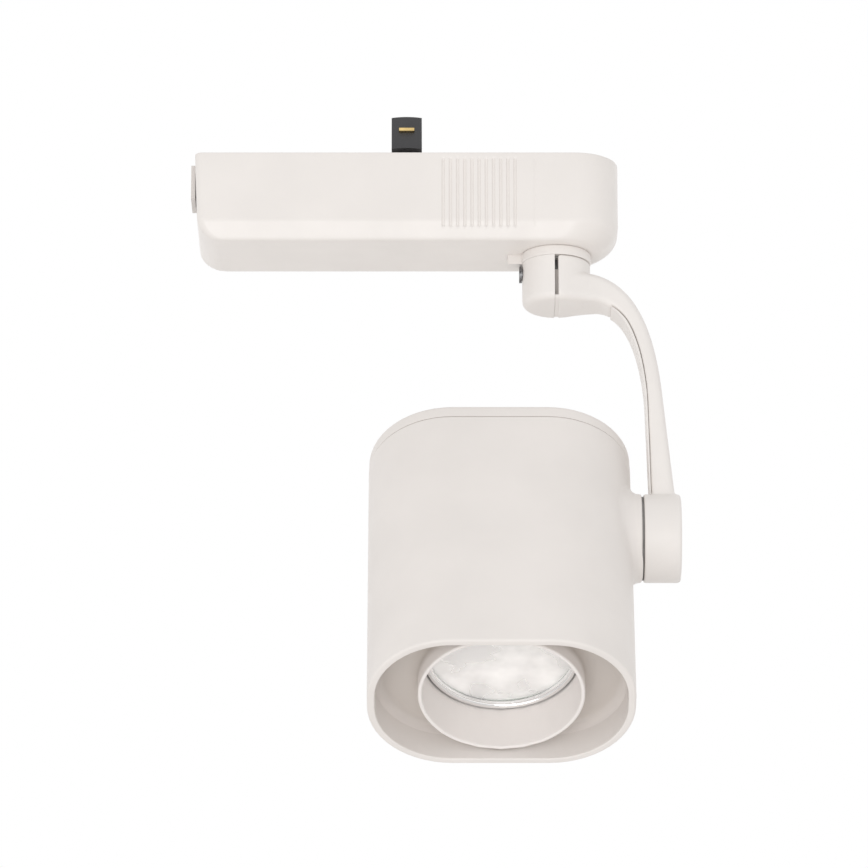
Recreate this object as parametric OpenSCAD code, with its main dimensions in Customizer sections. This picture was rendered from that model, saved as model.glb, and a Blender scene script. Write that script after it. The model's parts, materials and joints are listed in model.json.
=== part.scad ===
// Track spotlight: a gear box with a twist-in track adapter, a swivelling arm and a tilting lamp head.
// Millimetres. The origin is on the swivel axis, in the face that seats against the track's underside.
// +Z is up, +X runs along the track towards the box's rounded nose, and the head leans towards -Y.

/* [Gear box] */
// Distance from the swivel axis to the box's rounded nose
box_nose = 20.5; // [20:0.5:23]
// Distance from the swivel axis to the box's tail
box_tail = 119.5; // [117:0.5:126]
// Depth across the track
box_w = 36; // [35:0.5:38]
// Height below the track
box_h = 30; // [29:0.5:32]
// Wall thickness
box_wall = 2; // [1.8:0.1:2.2]
// Corner radius of the nose, seen from above
nose_r = 14.5; // [12:0.5:15]
// Radius where the nose turns under the box, seen from the side
nose_fillet = 9; // [7:0.5:10]
// Corner radius of the tail, seen from above
tail_r = 2.5; // [2.4:0.1:3]
// Radius where the tail turns under the box, seen from the side
tail_fillet = 8; // [7:0.5:9]
// How far the tail face leans in at its foot
tail_lean = 1.2; // [0.8:0.1:2]
// Height of the leaning strip along the foot of each long side
strip_h = 6; // [5:0.5:7]
// How far that strip leans in
strip_lean = 2.3; // [1.8:0.1:2.6]
// Number of grip grooves on each long side
rib_count = 11; // [6:1:12]
// Distance between grip grooves
rib_pitch = 2.37; // [2:0.01:2.4]

/* [Track adapter] */
// Distance from the swivel axis back to the adapter's axis
adapter_x = 49.5; // [46:0.5:52]
// Diameter of the neck that stands in the track's slot
neck_d = 11; // [10:0.5:11.5]
// Thickness of the track lips that the adapter grips
lip_t = 3.2; // [3:0.1:3.4]
// Reach of the adapter head across the track
adapter_head_l = 27; // [26:0.5:28]
// Height of the adapter head
adapter_head_h = 11; // [10.5:0.5:12]
// Travel of the release latch
latch_travel = 4; // [3.5:0.1:4]

/* [Swivel] */
// Diameter of the swivel hub
hub_d = 22.5; // [22.5:0.1:23]
// Height of the swivel hub
hub_h = 15.15; // [15:0.05:15.4]
// Diameter of the collar under the box
collar_d = 23; // [23:0.1:23.4]
// Height of the collar
collar_h = 3.3; // [3.2:0.1:3.6]
// Width of the split between the hub's two halves
split_w = 0.9; // [0.6:0.1:1]
// Swivel travel to each side
swivel_deg = 170; // [150:1:172]

/* [Tilt joint] */
// Height of the tilt axis below the track
pivot_drop = 128.2; // [128:0.1:129]
// Diameter of the knuckle disc
knuckle_d = 29; // [28:0.5:30]
// Distance from the swivel axis to the knuckle's inner face
knuckle_x = 27.95; // [27.9:0.05:28]
// Thickness of the knuckle disc
knuckle_t = 12.15; // [12:0.05:12.3]
// Tilt of the lamp head from straight down, at rest
head_tilt = 25; // [15:1:35]
// Tilt travel to each side of straight down
tilt_deg = 90; // [80:1:90]

/* [Lamp head] */
// Width of the head
head_w = 86; // [86:0.5:87]
// Depth of the head
head_d = 60; // [60:0.5:62]
// Corner radius of the head's outline
head_r = 27.5; // [26.5:0.5:28]
// Length from the tilt axis to the mouth
mouth_l = 71; // [70:0.5:74]
// Length from the tilt axis to the back of the cover
back_l = 32; // [32:0.5:34]
// Thickness of the back cover
cover_t = 5.5; // [5.5:0.1:6]
// Wall thickness of the head shell
head_wall = 2.5; // [2.4:0.1:2.6]
// Distance from the swivel axis to the head's centre line
head_x = 18.9; // [18.9:0.1:19]

/* [Lamp] */
// Outer radius of the glare tube
tube_r = 26.8; // [26.7:0.1:26.9]
// Wall thickness of the glare tube
tube_wall = 1.3; // [1.2:0.1:1.3]
// Depth of the tube's edge inside the mouth
tube_sunk = 3.2; // [3:0.1:4]
// Depth of the baffle plate inside the mouth
baffle_sunk = 13.8; // [13:0.1:14.5]
// Depth of the lamp ring inside the mouth
ring_sunk = 19; // [18.5:0.1:19.5]
// Radius of the lamp's glass
glass_r = 23.6; // [23.5:0.1:23.6]

/* [Hidden] */
$fn = 64;

// Overlap that makes a cut pass cleanly through a face
cut = 1;
// Loose gap between neighbouring fixed pieces
gap = 0.1;
// Radial clearance of a turning joint
run = 0.05;

// Heights inside the gear box
floor_z = -box_h + box_wall;
lid_t = 2;
board_t = 1.6;
board_z = floor_z + 4;
board_top = board_z + board_t;
board_tail = -97;
board_nose = -17;
board_w = 26;
board_post_in = [4, 3.5];
board_post_r = 2.6;

// Screw places on the lid, and the posts below them
lid_screw_at = [[-103, -12.5], [-103, 12.5], [11.5, -8.5], [11.5, 8.5]];
lid_post_r = 3;
lid_screw_l = 9;
adapter_screw_pitch = 18;
adapter_flange = [26, 14, 5];

// M2.5 countersunk screw of the lid and covers: shank radius, head radius, head height
flat_screw = [1.25, 2.6, 1.4];
// M3 pan-head screw: shank radius, head radius, head height
pan_screw = [1.45, 2.7, 1.5];
// M2.5 pan-head screw of the board
board_screw = [1.15, 2.2, 1.4];
// M2 pan-head screw of the hub
cover_screw = [0.9, 1.5, 1];
// M3 countersunk screw of the back cover
back_screw = [1.45, 2.9, 1.6];

// Grip grooves on the long sides: place of the first, its size, and its top
groove_x = -37.4;
groove = [1.1, 0.8, 24];
groove_top = -2;

// Ferrite core with two windows; the winding fills them round the middle leg
transformer_x = -72;
core = [22, 10, 15];
window = [5, 10];
leg = 4;

// Wire entries of the terminal block: depth, distance from the middle, height and radius
terminal_in = 5;
terminal_y = 2.6;
terminal_z = 5.4;
terminal_r = 1.3;

// Adapter head and the three contact strips that run through it
adapter_head_w = 10;
lead_foot = -lid_t - adapter_flange.z - 2;
contact_y = 3;
riser = [2.5, 0.8];
blade = [5, 1];
blade_z = lip_t + 5.5;
blade_reach = 15.2;
cap_strip = [12, 0.8];

// Release latch
latch_x = -112;
tongue = [6, 11];
tongue_rise = 3.2;
latch_arm_w = 8;
latch_arm_top = -6;
latch_arm_t = 3;
latch_foot = latch_arm_top - latch_arm_t;
spring_seat = latch_foot - 12;
spring_r = 2.2;
spring_wire_r = 0.35;
spring_turns = 6;
spigot_r = 1.2;
spigot_h = 2.5;
latch_play = 0.2;

// Hollow M10 stems of both joints: outer radius, bore radius, flange radius and thickness
stem_r = 5;
stem_bore_r = 3.3;
flange_r = 7.2;
flange_t = 1.5;
spring_washer_t = 0.8;
washer_r = 8.5;
washer_t = 1;
nut_t = 3.5;
nut_r = 7 / cos(30);

// Swivel hub heights
hub_z = -box_h - collar_h - run;
hub_foot = hub_z - hub_h;
hub_r = hub_d / 2;
hub_fillet = 2.5;
hub_web = 6;
hub_cavity_r = 8;
hub_floor_t = 2;
split_x = -0.2;
stem_flange_z = hub_z - hub_web - spring_washer_t;
lock_z = hub_z - 3.25;
stop_pin_r = 0.8;
swivel_pin_at = 8.2;
swivel_pin_in = 2.5;
swivel_pin_out = 1.7;
lock_screw_r = 1.95;
collar_groove = 2;
collar_lug = [6, 5.4];
collar_lug_y = 1.2;

// Tilt joint places along X
pivot_z = -pivot_drop;
knuckle_r = knuckle_d / 2;
knuckle_end = knuckle_x + knuckle_t;
knuckle_web = 5;
knuckle_cavity_r = 10.5;
cap_r = 11.5;
cap_t = 1.5;
boss_face = knuckle_x - 0.7;
pivot_flange_x = knuckle_x + knuckle_web + spring_washer_t;
tilt_pin_r = 1;
tilt_pin_at = 9.5;
tilt_pin_in = 4;
tilt_pin_out = 1.6;
tilt_groove_w = 2.2;
tilt_groove_h = 2;
friction_t = 0.6;

// Arm: its edges are curves from the hub to the waist, then straight to the knuckle
arm_top = hub_z - 5;
arm_foot = hub_foot + 0.2;
arm_end_z = pivot_z + knuckle_r - 2;
outer_curve = [[10.5, arm_top], [28, arm_top - 1.7], [32.5, -62], [34.3, -77.2]];
inner_curve = [[12, arm_foot], [22, arm_foot], [27.2, -62], [28.7, -80.4]];
outer_end = [38.4, arm_end_z];
inner_end = [29.9, arm_end_z];
arm_steps = 12;
arm_half_w = 5.6;
arm_reach = 30;
arm_leave = 4;
// Shares of the arm's thickness, from its inner edge: cover, seam, and cable channel
cover_share = 0.16;
seam_share = 0.19;
channel_share = 0.72;
wire_share = 0.46;
channel_w = 6;
cover_start = 0.2;
// Share of its full thickness at the cover's tip, and how far along the bend it becomes full
seam_tip = 0.25;
seam_ramp = 0.35;

// Wires
wire_r = 1.1;
wire_y = 1.2;
wire_sides = 10;

// Lamp head, in its own frame: Z = 0 on the tilt axis, -Z towards the mouth
mouth_z = -mouth_l;
seam_z = back_l - cover_t;
side_x = head_w / 2;
post_at = head_r - head_wall - 2.5;
post_r = 3.2;
cover_post_r = 2.3;
lip_h = 2.4;
boss_x = boss_face + head_x;
pad_x = side_x - head_wall - 3;
baffle_z = mouth_z + baffle_sunk;
baffle_t = 1.5;
bracket_t = 1.2;
bezel_screw_x = 36.5;
lug_z = baffle_z + baffle_t + bracket_t;

// Reflector lamp, 50 mm, in the head's frame
lamp_z = mouth_z + ring_sunk + 2.5;
lamp_rim_r = 25.2;
lamp_rim_h = 3.3;
lamp_neck_z = lamp_z + 27.5;
lamp_neck_r = 7.5;
lamp_wall = 1.3;
glass_t = 1.2;
base_end = lamp_neck_z + 10.5;
pin_pitch = 5.3;
pin_r = 0.75;
pin_l = 6;
socket_back = base_end + 7.5;
socket_screw_x = 8;
reflector_steps = 10;
// The reflector is a paraboloid: radius squared grows evenly from its neck to its rim
bowl_rate = (glass_r * glass_r - lamp_neck_r * lamp_neck_r) / (lamp_neck_z - lamp_z);
function bowl_r(z) = sqrt(lamp_neck_r * lamp_neck_r + bowl_rate * (lamp_neck_z - z));

function mix(a, b, f) = a * (1 - f) + b * f;
function bezier(p, t) =
    p[0] * pow(1 - t, 3) + 3 * p[1] * pow(1 - t, 2) * t + 3 * p[2] * (1 - t) * t * t + p[3] * pow(t, 3);
// Line along the arm at share f of its thickness, from curve parameter t0 down to the knuckle
function arm_line(f, t0) = concat(
    [for (i = [0:arm_steps]) bezier(mix(inner_curve, outer_curve, f), t0 + (1 - t0) * i / arm_steps)],
    [mix(inner_end, outer_end, f)]
);
// Line of the cover's seam: it leaves the arm's inner edge at the cover's tip and reaches share f on a ramp
function seam_line(f, t0) = concat(
    [for (i = [0:arm_steps]) bezier(
        mix(inner_curve, outer_curve, f * min(seam_tip + i / arm_steps / seam_ramp, 1)),
        t0 + (1 - t0) * i / arm_steps
    )],
    [mix(inner_end, outer_end, f)]
);
function reversed(list) = [for (i = [len(list) - 1:-1:0]) list[i]];
// Half width of the arm at distance x from the swivel axis: the hub's own round,
// then a parabola that leaves it smoothly and flattens at the waist
function hub_half(x) = sqrt(hub_r * hub_r - x * x);
function arm_flare(x) = pow(max(arm_reach - x, 0) / (arm_reach - arm_leave), 2);
function arm_half(x) =
    x < arm_leave ? hub_half(x) : mix(arm_half_w, hub_half(arm_leave), arm_flare(x));

// ---- Shared shapes ----

// Rectangle with true arcs at its corners
module round_rect(w, d, r) {
    square([w - 2 * r, d], center = true);
    square([w, d - 2 * r], center = true);
    for (sx = [-1, 1], sy = [-1, 1])
        translate([sx * (w / 2 - r), sy * (d / 2 - r)]) circle(r = r);
}

// Disc standing on Z = 0 with both edges rounded
module round_disc(r, h, edge) {
    rotate_extrude() {
        square([r - edge, h]);
        translate([0, edge]) square([r, h - 2 * edge]);
        for (z = [edge, h - edge])
            translate([r - edge, z]) circle(r = edge);
    }
}

// Block from corner a to corner b
module block(a, b) {
    translate(a) cube(b - a);
}

module ring(r_out, r_in, h) {
    difference() {
        cylinder(r = r_out, h = h);
        translate([0, 0, -cut]) cylinder(r = r_in, h = h + 2 * cut);
    }
}

// Turns a shape that stands along Z so that it lies along X, on the tilt axis
module along_tilt_axis(x) {
    translate([x, 0, pivot_z]) rotate([0, 90, 0]) children();
}

// Places the head's own frame: on the tilt axis, leaning by the rest tilt
module in_head() {
    translate([-head_x, 0, pivot_z]) rotate([-head_tilt, 0, 0]) children();
}

// Cross recess cut in a screw head whose top is at Z = 0
module cross_recess(head_r) {
    bar = [head_r * 1.1, 0.5, 0.7];
    for (a = [0, 90])
        rotate([0, 0, a]) translate([0, 0, -bar.z / 2 + gap]) cube(bar, center = true);
}

// Countersunk screw hanging from Z = 0
module flat_head_screw(screw, length) {
    difference() {
        union() {
            translate([0, 0, -length]) cylinder(r = screw[0], h = length);
            translate([0, 0, -screw[2]]) cylinder(r1 = screw[0], r2 = screw[1], h = screw[2]);
        }
        cross_recess(screw[1]);
    }
}

// Hole for that screw
module flat_head_hole(screw, length) {
    translate([0, 0, -length - cut]) cylinder(r = screw[0] + gap, h = length + 2 * cut);
    translate([0, 0, -screw[2]]) cylinder(r1 = screw[0] + gap, r2 = screw[1] + gap, h = screw[2] + 0.01);
}

// Pan-head screw whose head rests on Z = 0 and whose shank hangs below
module pan_head_screw(screw, length) {
    difference() {
        union() {
            translate([0, 0, -length]) cylinder(r = screw[0], h = length);
            cylinder(r = screw[1], h = screw[2]);
        }
        translate([0, 0, screw[2]]) cross_recess(screw[1]);
    }
}

// Flexible wire through a list of points, with rounded bends and ends
module wire(path) {
    for (i = [0:len(path) - 2])
        hull() {
            translate(path[i]) sphere(r = wire_r, $fn = wire_sides);
            translate(path[i + 1]) sphere(r = wire_r, $fn = wire_sides);
        }
}

// ---- Gear box ----

// Outline from above, moved in by inset
module box_plan(inset) {
    tail = -box_tail + inset;
    nose = box_nose - inset;
    half = box_w / 2 - inset;
    rn = nose_r - inset;
    rt = max(tail_r - inset, 0.3);
    translate([tail + rt, -half]) square([nose - rn - tail - rt, 2 * half]);
    translate([tail, rt - half]) square([2 * rt, 2 * (half - rt)]);
    translate([nose - 2 * rn, rn - half]) square([2 * rn, 2 * (half - rn)]);
    for (s = [-1, 1]) {
        translate([tail + rt, s * (half - rt)]) circle(r = rt);
        translate([nose - rn, s * (half - rn)]) circle(r = rn);
    }
}

// Outline from the front, X across and Z up: the tail leans and both ends turn under
module box_side(inset, top) {
    lean = atan(tail_lean / box_h);
    foot = -box_h + inset;
    nose = box_nose - inset;
    rn = nose_fillet - inset;
    rt = tail_fillet - inset;
    tail_top = -box_tail + inset / cos(lean);
    centre_z = foot + rt;
    centre_x = tail_top - centre_z * tan(lean) + rt / cos(lean);
    polygon([
        [tail_top - top * tan(lean), top],
        [centre_x - rt * cos(lean), centre_z - rt * sin(lean)],
        [centre_x, foot],
        [nose - rn, foot],
        [nose, foot + rn],
        [nose, top]
    ]);
    translate([centre_x, centre_z]) circle(r = rt);
    translate([nose - rn, foot + rn]) circle(r = rn);
}

// Outline across the track, Y across and Z up
module box_section(inset, top) {
    half = box_w / 2 - inset;
    foot = -box_h + inset;
    crease = -box_h + strip_h;
    polygon([
        [-half, top], [-half, crease], [strip_lean - half, foot],
        [half - strip_lean, foot], [half, crease], [half, top]
    ]);
}

// The box's form, moved in by inset and cut off at height top
module box_form(inset, top) {
    intersection() {
        translate([0, 0, -box_h + inset]) linear_extrude(box_h - inset + top) box_plan(inset);
        rotate([90, 0, 0]) linear_extrude(box_w + 2 * cut, center = true) box_side(inset, top);
        translate([-box_tail - cut, 0, 0]) rotate([90, 0, 90])
            linear_extrude(box_tail + box_nose + 2 * cut) box_section(inset, top);
    }
}

module grip_grooves() {
    for (s = [-1, 1], i = [0:rib_count - 1])
        translate([groove_x + i * rib_pitch, s * box_w / 2, groove_top - groove.z / 2])
            cube(groove, center = true);
}

// Cheeks and end wall that guide the latch, and the seat of its spring
module latch_guides() {
    cheek_t = 1.5;
    cheek_y = tongue.y / 2 + latch_play;
    tail_x = -box_tail + 4.2;
    back_x = latch_x + tongue.x / 2 + latch_play;
    foot = floor_z - gap;
    top = -4;
    for (s = [-1, 1])
        translate([tail_x, s * (cheek_y + cheek_t / 2) - cheek_t / 2, foot])
            cube([back_x - tail_x, cheek_t, top - foot]);
    block([back_x, -cheek_y - cheek_t, foot], [back_x + cheek_t, cheek_y + cheek_t, top]);
    translate([latch_x, 0, foot]) cylinder(r = spring_r + 1, h = spring_seat - foot);
    translate([latch_x, 0, spring_seat - gap]) cylinder(r = spigot_r, h = spigot_h + gap);
}

module at_board_screws() {
    for (x = [board_tail + board_post_in.x, board_nose - board_post_in.x], s = [-1, 1])
        translate([x, s * (board_w / 2 - board_post_in.y), 0]) children();
}

module gear_box_shell() {
    slot_top = latch_arm_top + latch_play;
    slot_foot = latch_foot - latch_travel - latch_play;
    slot_y = latch_arm_w / 2 + latch_play;
    pilot_l = 3;
    foot = floor_z - gap;
    color("white") difference() {
        union() {
            difference() {
                box_form(0, 0);
                box_form(box_wall, cut);
            }
            for (p = lid_screw_at)
                translate([p.x, p.y, foot]) cylinder(r = lid_post_r, h = -lid_t - foot);
            at_board_screws() translate([0, 0, foot]) cylinder(r = board_post_r, h = board_z - foot);
            latch_guides();
        }
        grip_grooves();
        for (p = lid_screw_at)
            translate([p.x, p.y, -lid_screw_l - pilot_l])
                cylinder(r = flat_screw[0] + gap, h = lid_screw_l + pilot_l);
        at_board_screws() translate([0, 0, board_z - pilot_l - gap])
            cylinder(r = board_screw[0] + gap, h = pilot_l + cut);
        block([-box_tail - cut, -slot_y, slot_foot], [latch_x - tongue.x / 2, slot_y, slot_top]);
        translate([0, 0, -box_h - cut]) cylinder(r = stem_r + gap, h = box_wall + 2 * cut);
    }
}

module gear_box_lid() {
    play = 0.3;
    color("white") difference() {
        intersection() {
            box_form(box_wall + gap, 0);
            block([-box_tail, -box_w, -lid_t], [box_nose, box_w, cut]);
        }
        for (p = lid_screw_at)
            translate([p.x, p.y, 0]) flat_head_hole(flat_screw, lid_t);
        for (s = [-1, 1])
            translate([s * adapter_screw_pitch / 2 - adapter_x, 0, 0]) flat_head_hole(flat_screw, lid_t);
        translate([-adapter_x, 0, -lid_t - cut]) cylinder(r = neck_d / 2 + gap, h = lid_t + 2 * cut);
        translate([latch_x, 0, 0])
            cube([tongue.x + 2 * play, tongue.y + 2 * play, 3 * lid_t], center = true);
    }
}

module lid_screws() {
    color("silver") for (p = lid_screw_at)
        translate([p.x, p.y, 0]) flat_head_screw(flat_screw, lid_screw_l);
}

module driver_board() {
    color("darkgreen") difference() {
        block([board_tail, -board_w / 2, board_z], [board_nose, board_w / 2, board_top]);
        at_board_screws() translate([0, 0, board_z - cut])
            cylinder(r = board_screw[0] + gap, h = board_t + 2 * cut);
    }
}

module board_screws() {
    color("silver") at_board_screws() translate([0, 0, board_top]) pan_head_screw(board_screw, 4.6);
}

module transformer_core() {
    color("dimgray") translate([transformer_x, 0, board_top]) difference() {
        translate([-core.x / 2, -core.y / 2, 0]) cube(core);
        for (s = [-1, 1])
            translate([s * (leg + window.x) / 2, 0, core.z / 2])
                cube([window.x, core.y + 2 * cut, window.y], center = true);
    }
}

module transformer_winding() {
    play = 0.2;
    coil = [leg + 2 * window.x - 2 * play, core.y + 7];
    coil_r = 3;
    color("peru") translate([transformer_x, 0, board_top + (core.z - window.y) / 2 + play])
        linear_extrude(window.y - 2 * play) difference() {
            round_rect(coil.x, coil.y, coil_r);
            square([leg + play, core.y + play], center = true);
        }
}

// Each capacitor: place along and across the board, radius, and height
module driver_capacitors() {
    edge = 0.6;
    color("navy") for (c = [[-34, 5, 4, 11], [-34, -5, 4, 11], [-89, 6, 3, 8]])
        translate([c[0], c[1], board_top]) round_disc(c[2], c[3], edge);
}

// Two flat power transistors standing on their legs
module driver_transistors() {
    at = [-50, 8];
    body = [8, 2.8, 8.5];
    tab = [8, 1, 11];
    leg_h = 2;
    leg_pitch = 2.5;
    leg_half = [0.4, 0.3];
    color("black") for (s = [-1, 1])
        translate([at.x, s * at.y, board_top]) {
            block([-body.x / 2, -body.y / 2, leg_h], [body.x / 2, body.y / 2, leg_h + body.z]);
            block([-tab.x / 2, body.y / 2 - tab.y, leg_h + cut], [tab.x / 2, body.y / 2, leg_h + tab.z]);
            for (i = [-1:1])
                translate([i * leg_pitch, 0, 0])
                    block([-leg_half.x, -leg_half.y, 0], [leg_half.x, leg_half.y, leg_h + cut]);
        }
}

module terminal_block() {
    size = [9, 12, 9];
    screw_r = 1.2;
    screw_z = 7.2;
    color("dimgray") translate([board_nose - 1, 0, board_top]) difference() {
        translate([-size.x, -size.y / 2, 0]) cube(size);
        for (s = [-1, 1]) {
            translate([-terminal_in, s * terminal_y, terminal_z]) rotate([0, 90, 0])
                cylinder(r = terminal_r, h = terminal_in + cut);
            translate([-terminal_in, s * terminal_y, screw_z]) cylinder(r = screw_r, h = size.z);
        }
    }
}

// Live, neutral and earth wires from the foot of each contact to the board
module mains_leads() {
    drop_x = -adapter_x - 6;
    spread = 1.6;
    color("sienna") for (y = [-contact_y, 0, contact_y])
        wire([
            [-adapter_x, y, lead_foot - wire_r],
            [-adapter_x, y, lead_foot - 2.5],
            [drop_x, spread * y, lead_foot - 6],
            [drop_x, spread * y, board_top + wire_r]
        ]);
}

// ---- Track adapter ----

// Upright strips of the three contacts, grown by play so that they also cut their own slots
module contact_riser(y, top, play) {
    block(
        [-adapter_x - riser.x / 2 - play, y - riser.y / 2 - play, lead_foot],
        [-adapter_x + riser.x / 2 + play, y + riser.y / 2 + play, top]
    );
}

module side_blade(side, play) {
    block(
        [-adapter_x - blade.x / 2 - play, side * contact_y - riser.y / 2 - play, blade_z - play],
        [-adapter_x + blade.x / 2 + play, side * contact_y + riser.y / 2 + play, blade_z + blade.y + play]
    );
    translate([-adapter_x, side * (contact_y + blade_reach) / 2, blade_z + blade.y / 2])
        cube([blade.x + 2 * play, blade_reach - contact_y, blade.y + 2 * play], center = true);
}

module side_contact(side, play) {
    contact_riser(side * contact_y, blade_z + blade.y / 2, play);
    side_blade(side, play);
}

module top_contact(play) {
    top = lip_t + adapter_head_h;
    contact_riser(0, top + gap, play);
    translate([-adapter_x, 0, top + cap_strip.y / 2])
        cube([blade.x + 2 * play, cap_strip.x + 2 * play, cap_strip.y], center = true);
}

module adapter_neck() {
    slot_play = 0.05;
    thread_l = 4;
    color("dimgray") difference() {
        union() {
            translate([-adapter_x, 0, -lid_t - adapter_flange.z / 2]) cube(adapter_flange, center = true);
            translate([-adapter_x, 0, -lid_t - gap]) cylinder(r = neck_d / 2, h = lid_t + lip_t + 2 * gap);
            translate([-adapter_x, 0, lip_t]) intersection() {
                cylinder(r = adapter_head_l / 2, h = adapter_head_h);
                translate([-adapter_head_w / 2, -adapter_head_l, 0])
                    cube([adapter_head_w, 2 * adapter_head_l, adapter_head_h]);
            }
        }
        for (side = [-1, 1])
            side_contact(side, slot_play);
        top_contact(slot_play);
        for (s = [-1, 1])
            translate([s * adapter_screw_pitch / 2 - adapter_x, 0, -lid_t - thread_l])
                cylinder(r = flat_screw[0] + gap, h = thread_l + cut);
    }
}

module adapter_screws() {
    color("silver") for (s = [-1, 1])
        translate([s * adapter_screw_pitch / 2 - adapter_x, 0, 0]) flat_head_screw(flat_screw, 5.5);
}

module live_contact() {
    color("gold") side_contact(-1, 0);
}

module neutral_contact() {
    color("gold") side_contact(1, 0);
}

module earth_contact() {
    color("gold") top_contact(0);
}

// ---- Release latch ----

module release_latch() {
    tab = [1.4, 14, 11.6];
    tab_x = -box_tail - gap;
    tab_top = -0.6;
    color("gainsboro") union() {
        block([tab_x - tab.x, -tab.y / 2, tab_top - tab.z], [tab_x, tab.y / 2, tab_top]);
        block([tab_x - gap, -latch_arm_w / 2, latch_foot], [latch_x, latch_arm_w / 2, latch_arm_top]);
        translate([latch_x, 0, (latch_foot + tongue_rise) / 2])
            cube([tongue.x, tongue.y, tongue_rise - latch_foot], center = true);
        translate([latch_x, 0, latch_foot - spigot_h]) cylinder(r = spigot_r, h = spigot_h + gap);
    }
}

module latch_spring() {
    turn_slices = 14;
    length = latch_foot - spring_seat - 2 * spring_wire_r;
    color("silver") translate([latch_x, 0, spring_seat]) {
        translate([0, 0, spring_wire_r])
            linear_extrude(length, twist = -360 * spring_turns, slices = turn_slices * spring_turns, $fn = 8)
                translate([spring_r, 0]) circle(r = spring_wire_r);
        for (z = [spring_wire_r, length + spring_wire_r])
            translate([0, 0, z]) rotate_extrude() translate([spring_r, 0]) circle(r = spring_wire_r);
    }
}

// ---- Swivel ----

// Collar fixed under the box, with the groove that the hub's stop pin runs in
module swivel_collar() {
    edge = 0.4;
    spare_deg = 0.4;
    stop_half = 180 - swivel_deg - asin(stop_pin_r / swivel_pin_at) - spare_deg;
    lug_x = -collar_d / 2 - 1.5;
    color("white") translate([0, 0, -box_h - collar_h]) difference() {
        union() {
            round_disc(collar_d / 2, collar_h, edge);
            translate([lug_x - collar_lug.x / 2, collar_lug_y - collar_lug.y / 2, 0])
                cube([collar_lug.x, collar_lug.y, collar_h]);
            translate([lug_x, collar_lug_y, 0]) cylinder(r = collar_lug.y / 2, h = collar_h);
        }
        translate([0, 0, -cut]) cylinder(r = stem_r + gap, h = collar_h + 2 * cut);
        rotate([0, 0, stop_half - 180]) rotate_extrude(angle = 2 * (180 - stop_half))
            translate([swivel_pin_at - collar_groove / 2, -cut]) square([collar_groove, collar_groove + cut]);
    }
}

// Hollow stem: flange at its foot inside the hub, nut and washer on its top inside the box
module swivel_stem() {
    spare_thread = 2;
    top = floor_z + washer_t + nut_t + spare_thread;
    color("dimgray") difference() {
        union() {
            translate([0, 0, stem_flange_z]) cylinder(r = stem_r, h = top - stem_flange_z);
            translate([0, 0, stem_flange_z - flange_t]) cylinder(r = flange_r, h = flange_t);
        }
        translate([0, 0, stem_flange_z - flange_t - cut])
            cylinder(r = stem_bore_r, h = top - stem_flange_z + flange_t + 2 * cut);
    }
}

module stem_washer() {
    color("silver") translate([0, 0, floor_z]) ring(washer_r, stem_r + gap, washer_t);
}

module hex_nut() {
    thread_gap = 0.02;
    difference() {
        cylinder(r = nut_r, h = nut_t, $fn = 6);
        translate([0, 0, -cut]) cylinder(r = stem_r + thread_gap, h = nut_t + 2 * cut);
    }
}

module stem_nut() {
    color("silver") translate([0, 0, floor_z + washer_t]) hex_nut();
}

// Low-voltage wires from the terminal block, down through the stem
module stem_leads() {
    entry_x = board_nose - terminal_in + 0.5;
    entry_z = board_top + terminal_z;
    color("white") for (s = [-1, 1])
        wire([
            [entry_x, s * terminal_y, entry_z],
            [-8, s * terminal_y, entry_z],
            [-4, s * wire_y, entry_z + 0.8],
            [-1.2, s * wire_y, entry_z],
            [0, s * wire_y, entry_z - 2],
            [0, s * wire_y, stem_flange_z - flange_t - 0.5]
        ]);
}

// Both halves of the hub, before they are split: web, cavity and bore
module hub_form() {
    difference() {
        union() {
            translate([0, 0, hub_foot]) round_disc(hub_r, hub_h / 2, hub_fillet);
            translate([0, 0, hub_foot + hub_fillet]) cylinder(r = hub_r, h = hub_h - hub_fillet);
        }
        hub_hollow();
    }
}

module hub_hollow() {
    cavity_h = hub_h - hub_web - hub_floor_t;
    translate([0, 0, hub_foot + hub_floor_t]) cylinder(r = hub_cavity_r, h = cavity_h);
    translate([0, 0, hub_z - hub_web - cut]) cylinder(r = stem_r + run, h = hub_web + 2 * cut);
}

// Screws that draw the hub's halves together, behind the stem
module at_cover_screws() {
    at = [-3.6, 9.4];
    for (z = [hub_z - 3, hub_foot + 4.6])
        translate([at.x, at.y, z]) rotate([0, -90, 0]) children();
}

module swivel_cover() {
    side = hub_r + cut;
    color("white") difference() {
        intersection() {
            hub_form();
            block([-side, -side, hub_foot - cut], [split_x - split_w / 2, side, hub_z + cut]);
        }
        translate([-stem_r, 0, lock_z]) rotate([0, -90, 0]) cylinder(r = lock_screw_r + run, h = hub_r);
        at_cover_screws() {
            translate([0, 0, -hub_r / 2]) cylinder(r = cover_screw[0] + gap, h = hub_r);
            cylinder(r = cover_screw[1] + gap, h = hub_r);
        }
    }
}

module cover_screws() {
    length = 7.5;
    color("silver") at_cover_screws() pan_head_screw(cover_screw, length);
}

// Knurled lock screw through the cover, bearing on the stem
module lock_screw() {
    head_r = 2.8;
    head_h = 0.9;
    slot = [0.9, 2 * head_r + cut, 1];
    under_head = hub_r - stem_r;
    color("dimgray") translate([-stem_r - gap, 0, lock_z]) rotate([0, -90, 0]) difference() {
        union() {
            cylinder(r = lock_screw_r, h = under_head + gap);
            translate([0, 0, under_head]) cylinder(r = head_r, h = head_h);
        }
        translate([0, 0, under_head + head_h]) cube(slot, center = true);
    }
}

module swivel_spring_washer() {
    color("silver") translate([0, 0, stem_flange_z]) ring(flange_r - 0.2, stem_r + run, spring_washer_t);
}

module swivel_stop_pin() {
    color("silver") translate([swivel_pin_at, 0, hub_z - swivel_pin_in])
        cylinder(r = stop_pin_r, h = swivel_pin_in + swivel_pin_out);
}

// ---- Arm ----

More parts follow.
